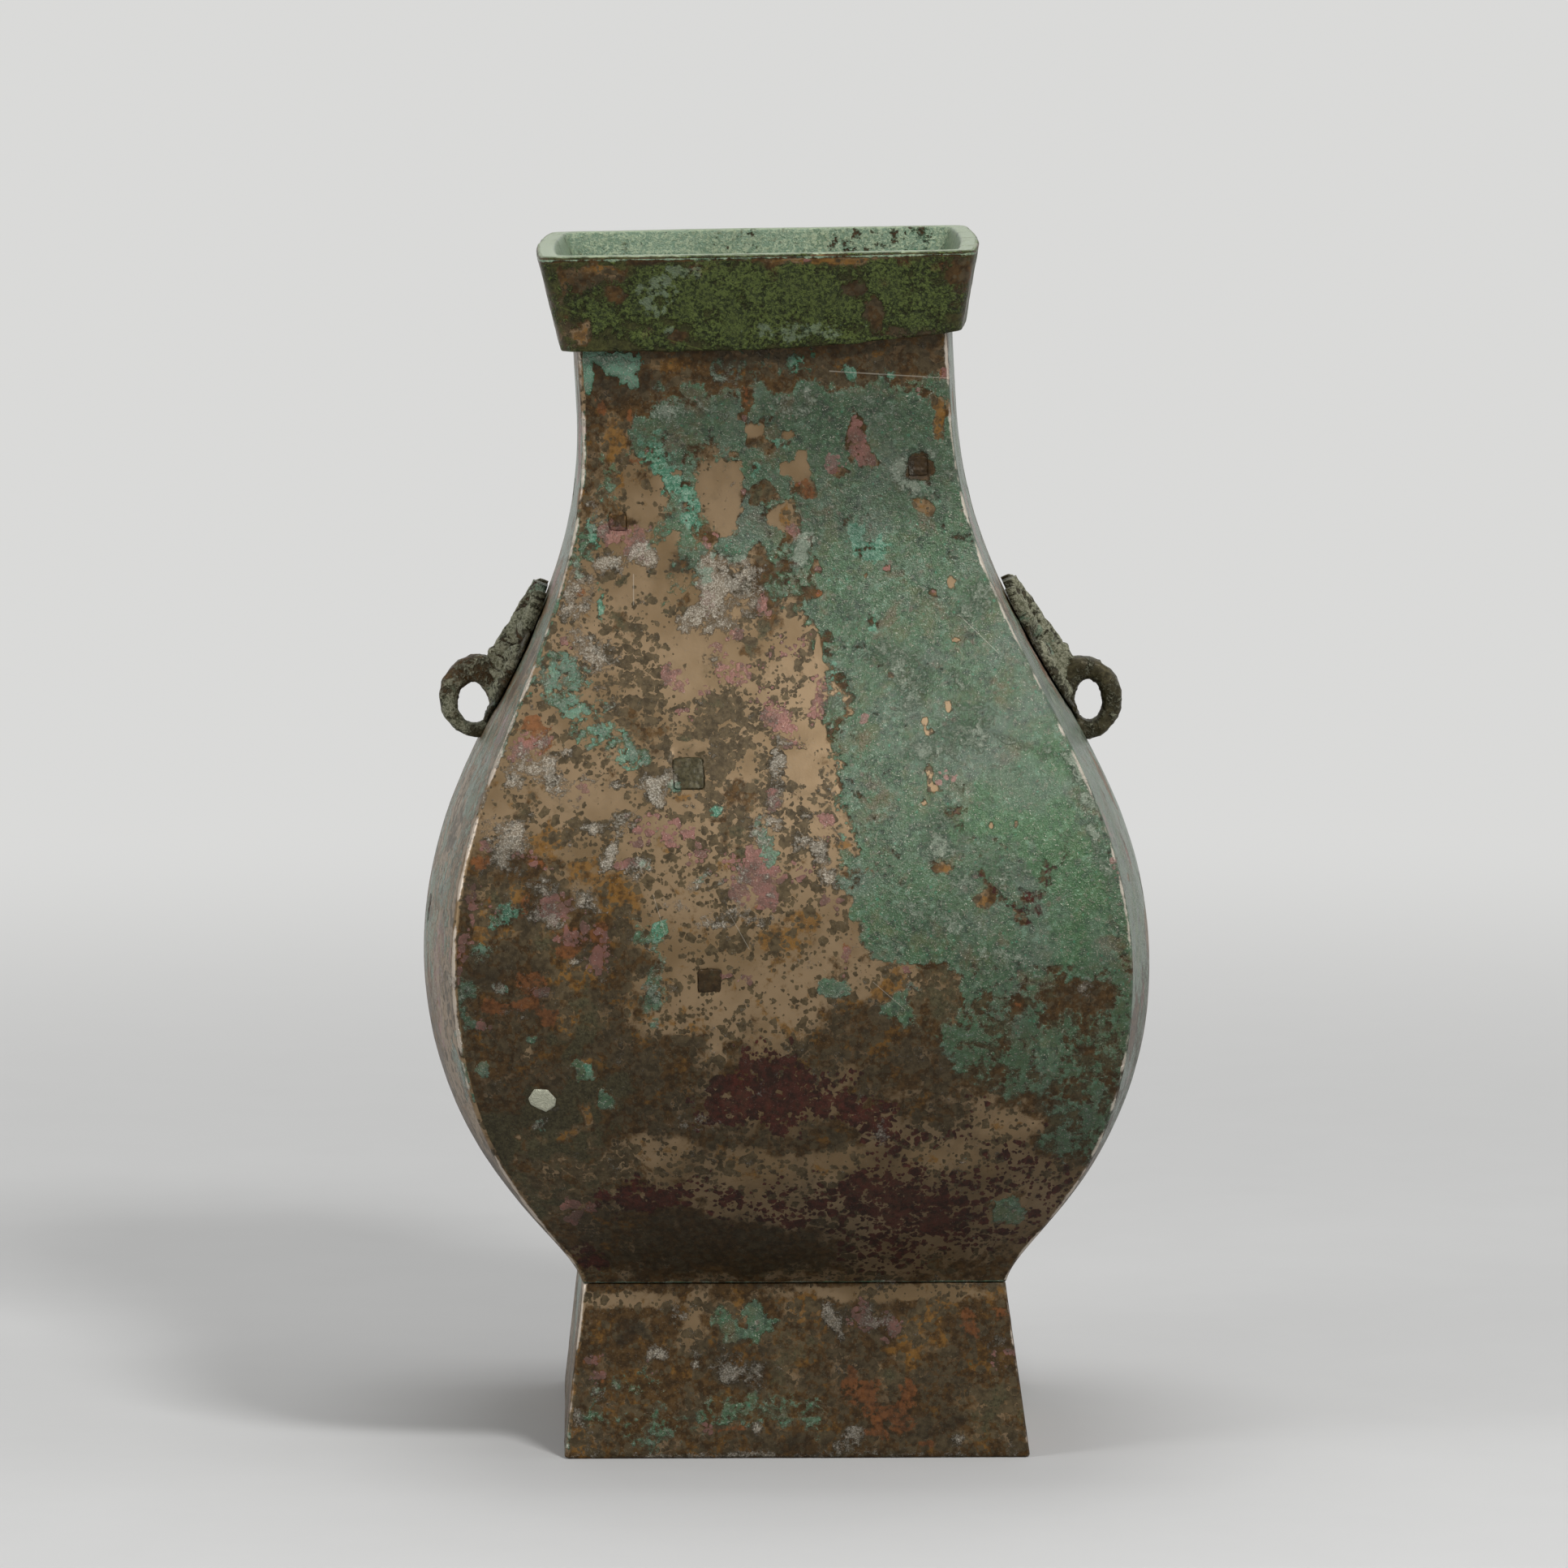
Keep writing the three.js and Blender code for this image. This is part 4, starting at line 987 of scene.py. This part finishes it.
def animal_mask(name, wall, seed):
    plate, plate_faces, pits_and_shade = mask_skin()
    loop, loop_faces = loop_skin(name)
    points = np.concatenate([plate, loop])
    faces = np.concatenate([plate_faces, loop_faces + len(plate)])
    fields = start_fields(len(points), tan=0.3, spots=0.3, dark=0.3, olive=0.6)
    strokes = random_strokes(seed, MASK_WIDTH / 2 + 8, 210, 270, 6, 60, CRUSTY_GROUNDS, MASK_GROWTHS)
    paint(fields, points[:, 0], points[:, 2], strokes, 50 + wall)
    on_plate = np.arange(len(points)) < len(plate)
    pits_and_shade = np.concatenate([pits_and_shade, np.zeros(len(loop))])
    # Painted shade in the mask's hollows and pits: darker there, with less crust
    fields["crust"] = np.where(on_plate, 0.85 * (1 - pits_and_shade), 0.4 * fields["crust"] + 0.34)
    fields["dark"] = np.where(on_plate, pits_and_shade, 0.25)
    fields["olive"] = np.clip(fields["olive"] + 0.2, 0, 1)
    return mesh_object(name + "_skin", settle(turned(points, wall)), faces, fields, name)


# Materials

class Surface:
    """A Principled material with short calls for the nodes that feed it."""

    def __init__(self, name):
        self.material = bpy.data.materials.new(name)
        self.material.use_nodes = True
        self.tree = self.material.node_tree
        self.shader = self.tree.nodes["Principled BSDF"]
        self.place = self.add("TexCoord").outputs["Object"]

    def add(self, kind, inputs=None, **settings):
        node = self.tree.nodes.new("ShaderNode" + kind)
        for key, value in settings.items():
            setattr(node, key, value)
        self.feed(node, inputs or {})
        return node

    def feed(self, node, inputs):
        """Links or sets each input that has a value."""
        for key, value in inputs.items():
            socket = node.inputs[key]
            if isinstance(value, bpy.types.NodeSocket):
                self.tree.links.new(value, socket)
            elif value is not None:
                socket.default_value = (*value, 1.0) if socket.type == "RGBA" else value

    def layers(self, name):
        """The four channels of one colour attribute."""
        source = self.add("Attribute", attribute_name=name)
        split = self.add("SeparateColor", {0: source.outputs["Color"]})
        return dict(zip(LAYERS[name], [*split.outputs[:3], source.outputs["Alpha"]]))

    def noise(self, size, detail=4.0, roughness=0.55, distortion=0.0, shift=0.0):
        """Noise with waves as long as size, in millimetres."""
        inputs = {"Vector": self.place, "W": shift, "Scale": 1 / (size * MM), "Detail": detail}
        inputs |= {"Roughness": roughness, "Distortion": distortion}
        return self.add("TexNoise", inputs, noise_dimensions="4D").outputs["Fac"]

    def scatter(self, size, waver):
        """Distance to scattered points about size apart, along wavering lines, and a chance for each."""
        ripple = self.add("TexNoise", {"Vector": self.place, "Scale": 1 / (0.8 * size * MM), "Detail": 2})
        shifted = self.vector("MULTIPLY_ADD", ripple.outputs["Color"], (waver * MM,) * 3, self.place)
        points = self.add("TexVoronoi", {"Vector": shifted[0], "Scale": 1 / (size * MM)})
        chance = self.add("SeparateColor", {0: points.outputs["Color"]})
        return points.outputs["Distance"], chance.outputs[0]

    def math(self, operation, *values):
        return self.add("Math", dict(enumerate(values)), operation=operation).outputs[0]

    def vector(self, operation, *values):
        return self.add("VectorMath", dict(enumerate(values)), operation=operation).outputs

    def over(self, value, low, high):
        """0 below low and 1 above high, with a smooth step between."""
        inputs = {"Value": value, "From Min": low, "From Max": high}
        return self.add("MapRange", inputs, interpolation_type="SMOOTHSTEP").outputs["Result"]

    def mix(self, amount, a, b):
        return self.add("Mix", {0: amount, 6: a, 7: b}, data_type="RGBA").outputs[2]

    def blend(self, amount, a, b):
        return self.add("Mix", {0: amount, 2: a, 3: b}, data_type="FLOAT").outputs[0]

    def tint(self, color, cover, strength, tone):
        """A colour under a layer of another one."""
        return self.mix(self.math("MULTIPLY", cover, strength), color, tone)

    def covered(self, share, pattern, spread=2.0, soft=0.06):
        """Where a layer lies: share is how much of the surface it covers, the pattern gives its edges."""
        level = self.math("MULTIPLY_ADD", pattern, spread, self.math("SUBTRACT", share, 0.5 * spread))
        return self.over(level, 0.5 - soft, 0.5 + soft)

    def dots(self, share, pattern, distance, chance):
        """Spots round scattered points: more and wider ones as their share grows."""
        lively = self.math("MULTIPLY_ADD", pattern, 4.5, -0.75)
        level = self.math("MULTIPLY_ADD", lively, share, self.math("MULTIPLY", chance, -1))
        level = self.math("MULTIPLY_ADD", distance, -0.7, level)
        return self.over(level, -0.03, 0.03)

    def thin_line(self, x0, z0, x1, z1, width):
        """A thin line on the front, from one place to another."""
        start, end = (Vector(front_place(*place)) for place in ((x0, z0), (x1, z1)))
        line = end - start
        flat = self.vector("MULTIPLY", self.place, (1, 0, 1))["Vector"]
        away = self.vector("SUBTRACT", flat, start)["Vector"]
        along = self.vector("DOT_PRODUCT", away, line / line.length_squared)["Value"]
        share = self.add("Clamp", {0: along}).outputs[0]
        reach = self.add("VectorMath", {0: line, "Scale": share}, operation="SCALE")
        gap = self.vector("DISTANCE", away, reach.outputs["Vector"])["Value"]
        in_front = self.math("LESS_THAN", self.add("SeparateXYZ", {0: self.place}).outputs["Y"], 0)
        return self.math("MULTIPLY", self.over(gap, 0.7 * width * MM, 0.3 * width * MM), in_front)


def paint_color(red, green, blue):
    """A colour as it is seen on a screen, out of 255, as the linear value that a shader takes."""
    linear = lambda c: c / 12.92 if c <= 0.04045 else ((c + 0.055) / 1.055) ** 2.4
    return tuple(linear(c / 255) for c in (red, green, blue))


TAN = paint_color(113, 93, 66)
TAN_PALE = paint_color(134, 113, 86)
BROWN = paint_color(86, 64, 36)
BROWN_DARK = paint_color(52, 38, 20)
SPOT = paint_color(88, 75, 53)
SPOT_DARK = paint_color(60, 50, 33)
OCHRE = paint_color(120, 85, 36)
OCHRE_DARK = paint_color(76, 52, 20)
DARK = paint_color(28, 23, 14)
OX = paint_color(78, 28, 25)
OX_DARK = paint_color(40, 16, 14)
GREEN = paint_color(54, 88, 56)
GREEN_DEEP = paint_color(30, 52, 34)
GREEN_GREY = paint_color(76, 94, 76)
GREEN_OLIVE = paint_color(72, 82, 46)
LEAF = paint_color(40, 84, 42)
LEAF_PALE = paint_color(62, 100, 56)
JADE = paint_color(46, 106, 80)
FILM = paint_color(98, 122, 104)
JADE_PALE = paint_color(106, 142, 120)
TURQUOISE = paint_color(40, 124, 90)
HAZE = paint_color(86, 100, 90)
OLIVE = paint_color(82, 77, 54)
OLIVE_DARK = paint_color(48, 45, 29)
PINK = paint_color(140, 98, 90)
MAUVE = paint_color(104, 78, 70)
ORANGE = paint_color(126, 78, 44)
ORANGE_DARK = paint_color(86, 52, 27)
CRUST = paint_color(192, 185, 170)
CRUST_DARK = paint_color(130, 122, 107)
# Pale colour of worn ridges, which also paints their highlight
WORN_AND_HIGHLIGHT = paint_color(196, 184, 170)

# Thin pale lines on the front, from end to end in millimetres: [across, height] twice, then width. Most are
# scratched lines; the first two of the body are painted highlights, along the seam under the collar and along
# a drip on the shoulder.
SCRATCHES_AND_HIGHLIGHTS = {
    "collar": [(-62, 353, -38, 344.5, 0.3), (-33, 343.5, -18, 338.8, 0.3)],
    "body": [
        (20, 331.5, 57, 328.6, 0.35), (-43.5, 262, -43, 271, 0.3), (-19, 173, -13, 162, 0.2),
        (24, 152, 33, 144, 0.2), (-41.5, 178, -38, 166, 0.2), (55, 258, 66, 247, 0.25),
    ],
}


def front_place(across, height):
    """Where a place on the front wall lies once the jar has settled, in metres."""
    x, _, z = settle(np.array([across, -float(middle_at(min(height, NECK_LEVEL))), height]))
    return x * MM, 0.0, z * MM


def patina(
    name, crust=(CRUST, CRUST_DARK), jade=(JADE_PALE, JADE, FILM), olives=(OLIVE, OLIVE_DARK), worn=WORN_AND_HIGHLIGHT,
    rough=1.0, grain=0.0, scratches_and_highlights=(),
):
    """Bare bronze under spots, films, stains and crusts, each laid where the mesh says, with painted shade,
    painted highlights and painted glints among them.
    """
    s = Surface(name)
    ground, growth, stain = (s.layers(layer) for layer in LAYERS)
    broad = s.noise(30, 3, 0.6, 0.3, 7.0)
    middle = s.noise(7.0, 6, 0.66, 0.3, 1.0)
    other = s.noise(6.0, 6, 0.68, 0.3, 5.0)
    small = s.noise(1.8, 4, 0.62, 0.0, 3.0)
    grains = s.noise(0.9, 3, 0.65, 0.4, 4.0)
    dust = s.noise(0.42, 2, 0.6, 0.0, 6.0)
    little, chance = s.scatter(1.35, 0.7)
    larger, luck = s.scatter(3.1, 1.3)

    def spotted(share, pattern):
        """Round spots that run together as their share grows."""
        return s.math("MAXIMUM", s.dots(share, pattern, little, chance), s.dots(share, pattern, larger, luck))

    def speckle(pattern, low, high, dark, pale):
        return s.mix(s.over(pattern, low, high), dark, pale)

    # Bare metal and what lies close on it
    metal = speckle(broad, 0.38, 0.62, TAN, TAN_PALE)
    metal = s.tint(metal, s.over(other, 0.5, 0.7), 0.35, SPOT)
    metal = s.tint(metal, s.over(dust, 0.6, 0.7), 0.35, SPOT_DARK)
    tan = s.covered(ground["tan"], middle, 1.8, 0.12)
    color = s.mix(tan, speckle(small, 0.35, 0.65, BROWN_DARK, BROWN), metal)
    ochre = s.covered(ground["ochre"], other, 2.2, 0.1)
    color = s.tint(color, ochre, 0.8, speckle(small, 0.38, 0.6, OCHRE_DARK, OCHRE))
    spots = spotted(ground["spots"], middle)
    color = s.mix(spots, color, speckle(small, 0.35, 0.62, SPOT_DARK, SPOT))
    olive = s.covered(growth["olive"], other, 2.2, 0.14)
    color = s.tint(color, olive, 0.9, speckle(grains, 0.35, 0.65, olives[1], olives[0]))
    color = s.tint(color, spotted(stain["ox"], other), 0.85, speckle(small, 0.35, 0.65, OX_DARK, OX))

    # Green film, mottled from broad clouds down to small dots
    film = speckle(s.blend(0.5, middle, small), 0.38, 0.56, GREEN_DEEP, GREEN)
    leaf = s.math("MULTIPLY_ADD", other, 0.8, growth["olive"])
    for cover, strength, tone in (
        (s.over(s.blend(0.4, other, small), 0.48, 0.58), 0.6, GREEN_GREY),
        (s.over(s.noise(9, 5, 0.66, 0.4, 11.0), 0.52, 0.64), 0.7, GREEN_OLIVE),
        (s.over(s.noise(12, 6, 0.66, 0.4, 13.0), 0.54, 0.64), 0.55, BROWN),
        (s.over(leaf, 0.7, 1.1), 0.75, speckle(small, 0.45, 0.62, LEAF, LEAF_PALE)),
        (s.over(broad, 0.5, 0.64), 0.4, HAZE),
        (s.over(small, 0.56, 0.64), 0.3, JADE_PALE),
        (s.over(small, 0.44, 0.36), 0.5, GREEN_DEEP),
        (s.over(grains, 0.56, 0.64), 0.45, crust[1]),
        (s.dots(0.13, other, larger, luck), 0.4, MAUVE),
        (s.dots(0.14, middle, little, chance), 0.55, TURQUOISE),
    ):
        film = s.tint(film, cover, strength, tone)
    green = s.covered(growth["green"], s.blend(0.4, middle, small), 2.6, 0.1)
    color = s.tint(color, green, 0.93, film)

    # Stains and thicker deposits
    orange = s.covered(stain["orange"], s.blend(0.4, other, small), 2.8, 0.07)
    color = s.tint(color, orange, 0.8, speckle(small, 0.38, 0.62, ORANGE_DARK, ORANGE))
    pink = spotted(stain["pink"], middle)
    color = s.tint(color, pink, 0.78, speckle(other, 0.4, 0.6, MAUVE, PINK))
    jades = s.covered(growth["jade"], s.blend(0.5, other, small), 3.0, 0.08)
    powder = speckle(dust, 0.4, 0.6, s.mix(0.4, jade[0], jade[1]), jade[2])
    deposit = s.mix(s.over(growth["crust"], 0.12, 0.3), speckle(grains, 0.44, 0.6, jade[1], jade[0]), powder)
    color = s.tint(color, jades, 0.8, deposit)
    crusts = s.covered(growth["crust"], s.blend(0.5, middle, s.blend(0.5, small, grains)), 4.4, 0.2)
    # Pale grains in the crusts, partly painted glints
    pale_grains_and_glints = s.blend(grain, s.over(dust, 0.44, 0.62), s.over(grains, 0.42, 0.58))
    color = s.tint(color, crusts, 0.7, s.tint(s.mix(pale_grains_and_glints, crust[1], crust[0]), green, 0.45, jade[0]))
    thick = s.math("MAXIMUM", green, crusts)
    cover = s.math("MAXIMUM", thick, s.math("MAXIMUM", jades, s.math("MULTIPLY", pink, 0.6)))
    # Fine pale specks over films and crusts: partly pale grains, partly painted glints
    color = s.tint(color, s.over(dust, 0.63, 0.68), s.math("MULTIPLY_ADD", cover, 0.5, 0.12), crust[0])
    # Darkening from the dark channel: dark patina, and the painted shade that the mesh carries there
    dark_patina_and_shade = s.math("MULTIPLY", s.over(s.math("MULTIPLY_ADD", middle, 1.0, ground["dark"]), 0.4, 1.5), 0.9)
    color = s.mix(dark_patina_and_shade, color, s.mix(0.72, color, DARK))
    # Pale ridges and rim top: partly worn metal, partly painted highlights
    wear_and_highlight = s.covered(stain["wear_and_highlight"], small, 1.0, 0.2)
    color = s.tint(color, wear_and_highlight, 0.75, worn)
    # Thin pale lines: scratched lines, and painted highlights along a seam and a drip
    for ends in scratches_and_highlights:
        color = s.tint(color, s.thin_line(*ends), 0.28, crust[0])

    # Duller and rougher where the metal is hidden
    shade = s.math("MAXIMUM", s.math("MAXIMUM", dark_patina_and_shade, spots), s.math("MAXIMUM", olive, ochre))
    roughness = s.blend(crusts, s.blend(cover, s.blend(shade, 0.38, 0.44), 0.31), 0.5)
    metallic = s.blend(crusts, s.blend(cover, s.blend(shade, 0.4, 0.25), 0.22), 0.05)
    film_rise = s.math("MULTIPLY_ADD", cover, 0.02, s.math("MULTIPLY", spots, 0.012))
    rise = s.math("MULTIPLY_ADD", crusts, 0.06, film_rise)
    depth = s.math("MULTIPLY_ADD", crusts, 0.5, s.math("MULTIPLY_ADD", cover, 0.42, 0.05))
    texture = s.math("MULTIPLY_ADD", dust, 0.4, s.blend(0.25, grains, small))
    bump = {"Height": s.math("MULTIPLY_ADD", texture, depth, rise), "Distance": rough * MM, "Strength": 0.9}
    normal = s.add("Bump", bump).outputs["Normal"]
    s.feed(s.shader, {
        "Base Color": color,
        "Roughness": s.math("MULTIPLY_ADD", grains, 0.2, s.math("SUBTRACT", roughness, 0.1)),
        "Metallic": s.math("MAXIMUM", metallic, s.math("MULTIPLY", wear_and_highlight, 0.5)),
        "Specular IOR Level": s.math("MULTIPLY_ADD", green, 0.2, 0.2),
        "Coat Weight": s.math("MULTIPLY", green, 0.16),
        "Coat Roughness": 0.2,
        "Coat Normal": normal,
        "Normal": normal,
    })
    return s.material


# Pieces and their finishes

CELADON = paint_color(156, 170, 140)
CELADON_DARK = paint_color(108, 132, 108)
PATCH_METAL = paint_color(178, 180, 160)
COLLAR_CRUST = (paint_color(104, 122, 58), paint_color(50, 66, 28))
COLLAR_OLIVE = (paint_color(78, 80, 42), paint_color(40, 44, 20))
MASK_CRUST = (paint_color(166, 166, 142), paint_color(112, 114, 90))

FINISHES = {
    "body_bronze": patina("body_patina", scratches_and_highlights=SCRATCHES_AND_HIGHLIGHTS["body"]),
    "collar_bronze": patina(
        "collar_patina", COLLAR_CRUST, (CELADON, CELADON_DARK, CELADON), COLLAR_OLIVE, CELADON,
        rough=2.0, grain=1.0, scratches_and_highlights=SCRATCHES_AND_HIGHLIGHTS["collar"],
    ),
    "foot_bronze": patina("foot_patina"),
    "inner_bronze": patina("inner_patina"),
    "mask_bronze": patina("mask_patina", MASK_CRUST, rough=1.5, grain=1.0),
    "spacer_bronze": patina("spacer_patina", worn=PATCH_METAL),
}

pieces = [
    (body_wall(), "body_bronze"),
    (mouth_collar(), "collar_bronze"),
    (foot(), "foot_bronze"),
    (floor_plate(), "inner_bronze"),
    (animal_mask("mask_right", 1, 121), "mask_bronze"),
    (animal_mask("mask_left", 3, 133), "mask_bronze"),
]
for wall, name in enumerate(WALLS):
    for index, place in enumerate(SPACERS[name]):
        plug = core_spacer(f"spacer_{name}_{index + 1}", wall, place, 10 * wall + index)
        pieces.append((plug, "spacer_bronze"))
for piece, slot in pieces:
    piece.data.materials.append(FINISHES[slot])


# Pale floor and even background

FLOOR_SIZE = 60.0
FLOOR_GREYS = (0.55, 0.55, 0.545), (0.58, 0.58, 0.575)
BACKGROUND = (0.7, 0.7, 0.69)
WORLD_GREY, WORLD_LEVEL = 0.96, 0.36
FADE_START, FADE_END = 0.35, 1.6


def seen_directly(tree):
    """1 for the rays that show the background, 0 for the rays that carry its light to the jar."""
    path = tree.nodes.new("ShaderNodeLightPath")
    shown = path.outputs["Is Camera Ray"]
    for name in ("Is Glossy Ray", "Is Transmission Ray"):
        either = tree.nodes.new("ShaderNodeMath")
        either.operation = "MAXIMUM"
        tree.links.new(shown, either.inputs[0])
        tree.links.new(path.outputs[name], either.inputs[1])
        shown = either.outputs[0]
    return shown


def pale_floor():
    mesh = bpy.data.meshes.new("floor")
    half = FLOOR_SIZE / 2
    corners = [(-half, -half, 0), (half, -half, 0), (half, half, 0), (-half, half, 0)]
    mesh.from_pydata(corners, [], [(0, 1, 2, 3)])
    floor = bpy.data.objects.new("floor", mesh)
    bpy.context.scene.collection.objects.link(floor)
    s = Surface("floor_paint")
    s.feed(s.shader, {"Base Color": s.mix(s.noise(40, 3), *FLOOR_GREYS), "Roughness": 0.75, "Metallic": 0.0})
    glow = s.add("Emission", {"Color": BACKGROUND})
    fade = s.over(s.vector("LENGTH", s.place)["Value"], FADE_START, FADE_END)
    shown = s.math("MULTIPLY", fade, seen_directly(s.tree))
    join = s.add("MixShader", {0: shown, 1: s.shader.outputs[0], 2: glow.outputs[0]})
    s.feed(s.tree.nodes["Material Output"], {"Surface": join.outputs[0]})
    mesh.materials.append(s.material)


def soft_light(name, place, size, power, tint=(1, 1, 1)):
    data = bpy.data.lights.new(name, "AREA")
    data.shape = "RECTANGLE"
    data.size, data.size_y = size
    data.energy = power
    data.color = tint
    light = bpy.data.objects.new(name, data)
    light.location = place
    light.rotation_euler = (Vector((0, 0, 0.2)) - Vector(place)).to_track_quat("-Z", "Y").to_euler()
    bpy.context.scene.collection.objects.link(light)


def studio():
    world = bpy.data.worlds.new("studio")
    bpy.context.scene.world = world
    world.use_nodes = True
    nodes, links = world.node_tree.nodes, world.node_tree.links
    lit = nodes["Background"]
    lit.inputs["Color"].default_value = (WORLD_GREY, WORLD_GREY, WORLD_GREY, 1)
    lit.inputs["Strength"].default_value = WORLD_LEVEL
    seen = nodes.new("ShaderNodeBackground")
    seen.inputs["Color"].default_value = (*BACKGROUND, 1)
    join = nodes.new("ShaderNodeMixShader")
    links.new(seen_directly(world.node_tree), join.inputs[0])
    links.new(lit.outputs[0], join.inputs[1])
    links.new(seen.outputs[0], join.inputs[2])
    links.new(join.outputs[0], nodes["World Output"].inputs["Surface"])
    soft_light("key", (0.66, -1.3, 1.66), (0.34, 0.34), 23)
    soft_light("left", (-1.7, -0.9, 1.0), (0.7, 1.2), 13)
    soft_light("right", (1.8, -0.2, 1.0), (0.6, 1.2), 6)
    soft_light("top", (0.0, 0.4, 1.9), (0.9, 0.9), 9)


def photo_camera():
    data = bpy.data.cameras.new("photo_camera")
    data.lens = LENS
    data.sensor_width = 36
    camera = bpy.data.objects.new("photo_camera", data)
    offset = Vector((-math.sin(JAR_YAW) * CAMERA_DISTANCE, -math.cos(JAR_YAW) * CAMERA_DISTANCE, CAMERA_RISE))
    camera.location = AIM + offset
    camera.rotation_euler = (-offset).to_track_quat("-Z", "Y").to_euler()
    bpy.context.scene.collection.objects.link(camera)
    bpy.context.scene.camera = camera


pale_floor()
studio()
photo_camera()
bpy.context.scene.view_settings.view_transform = "Standard"
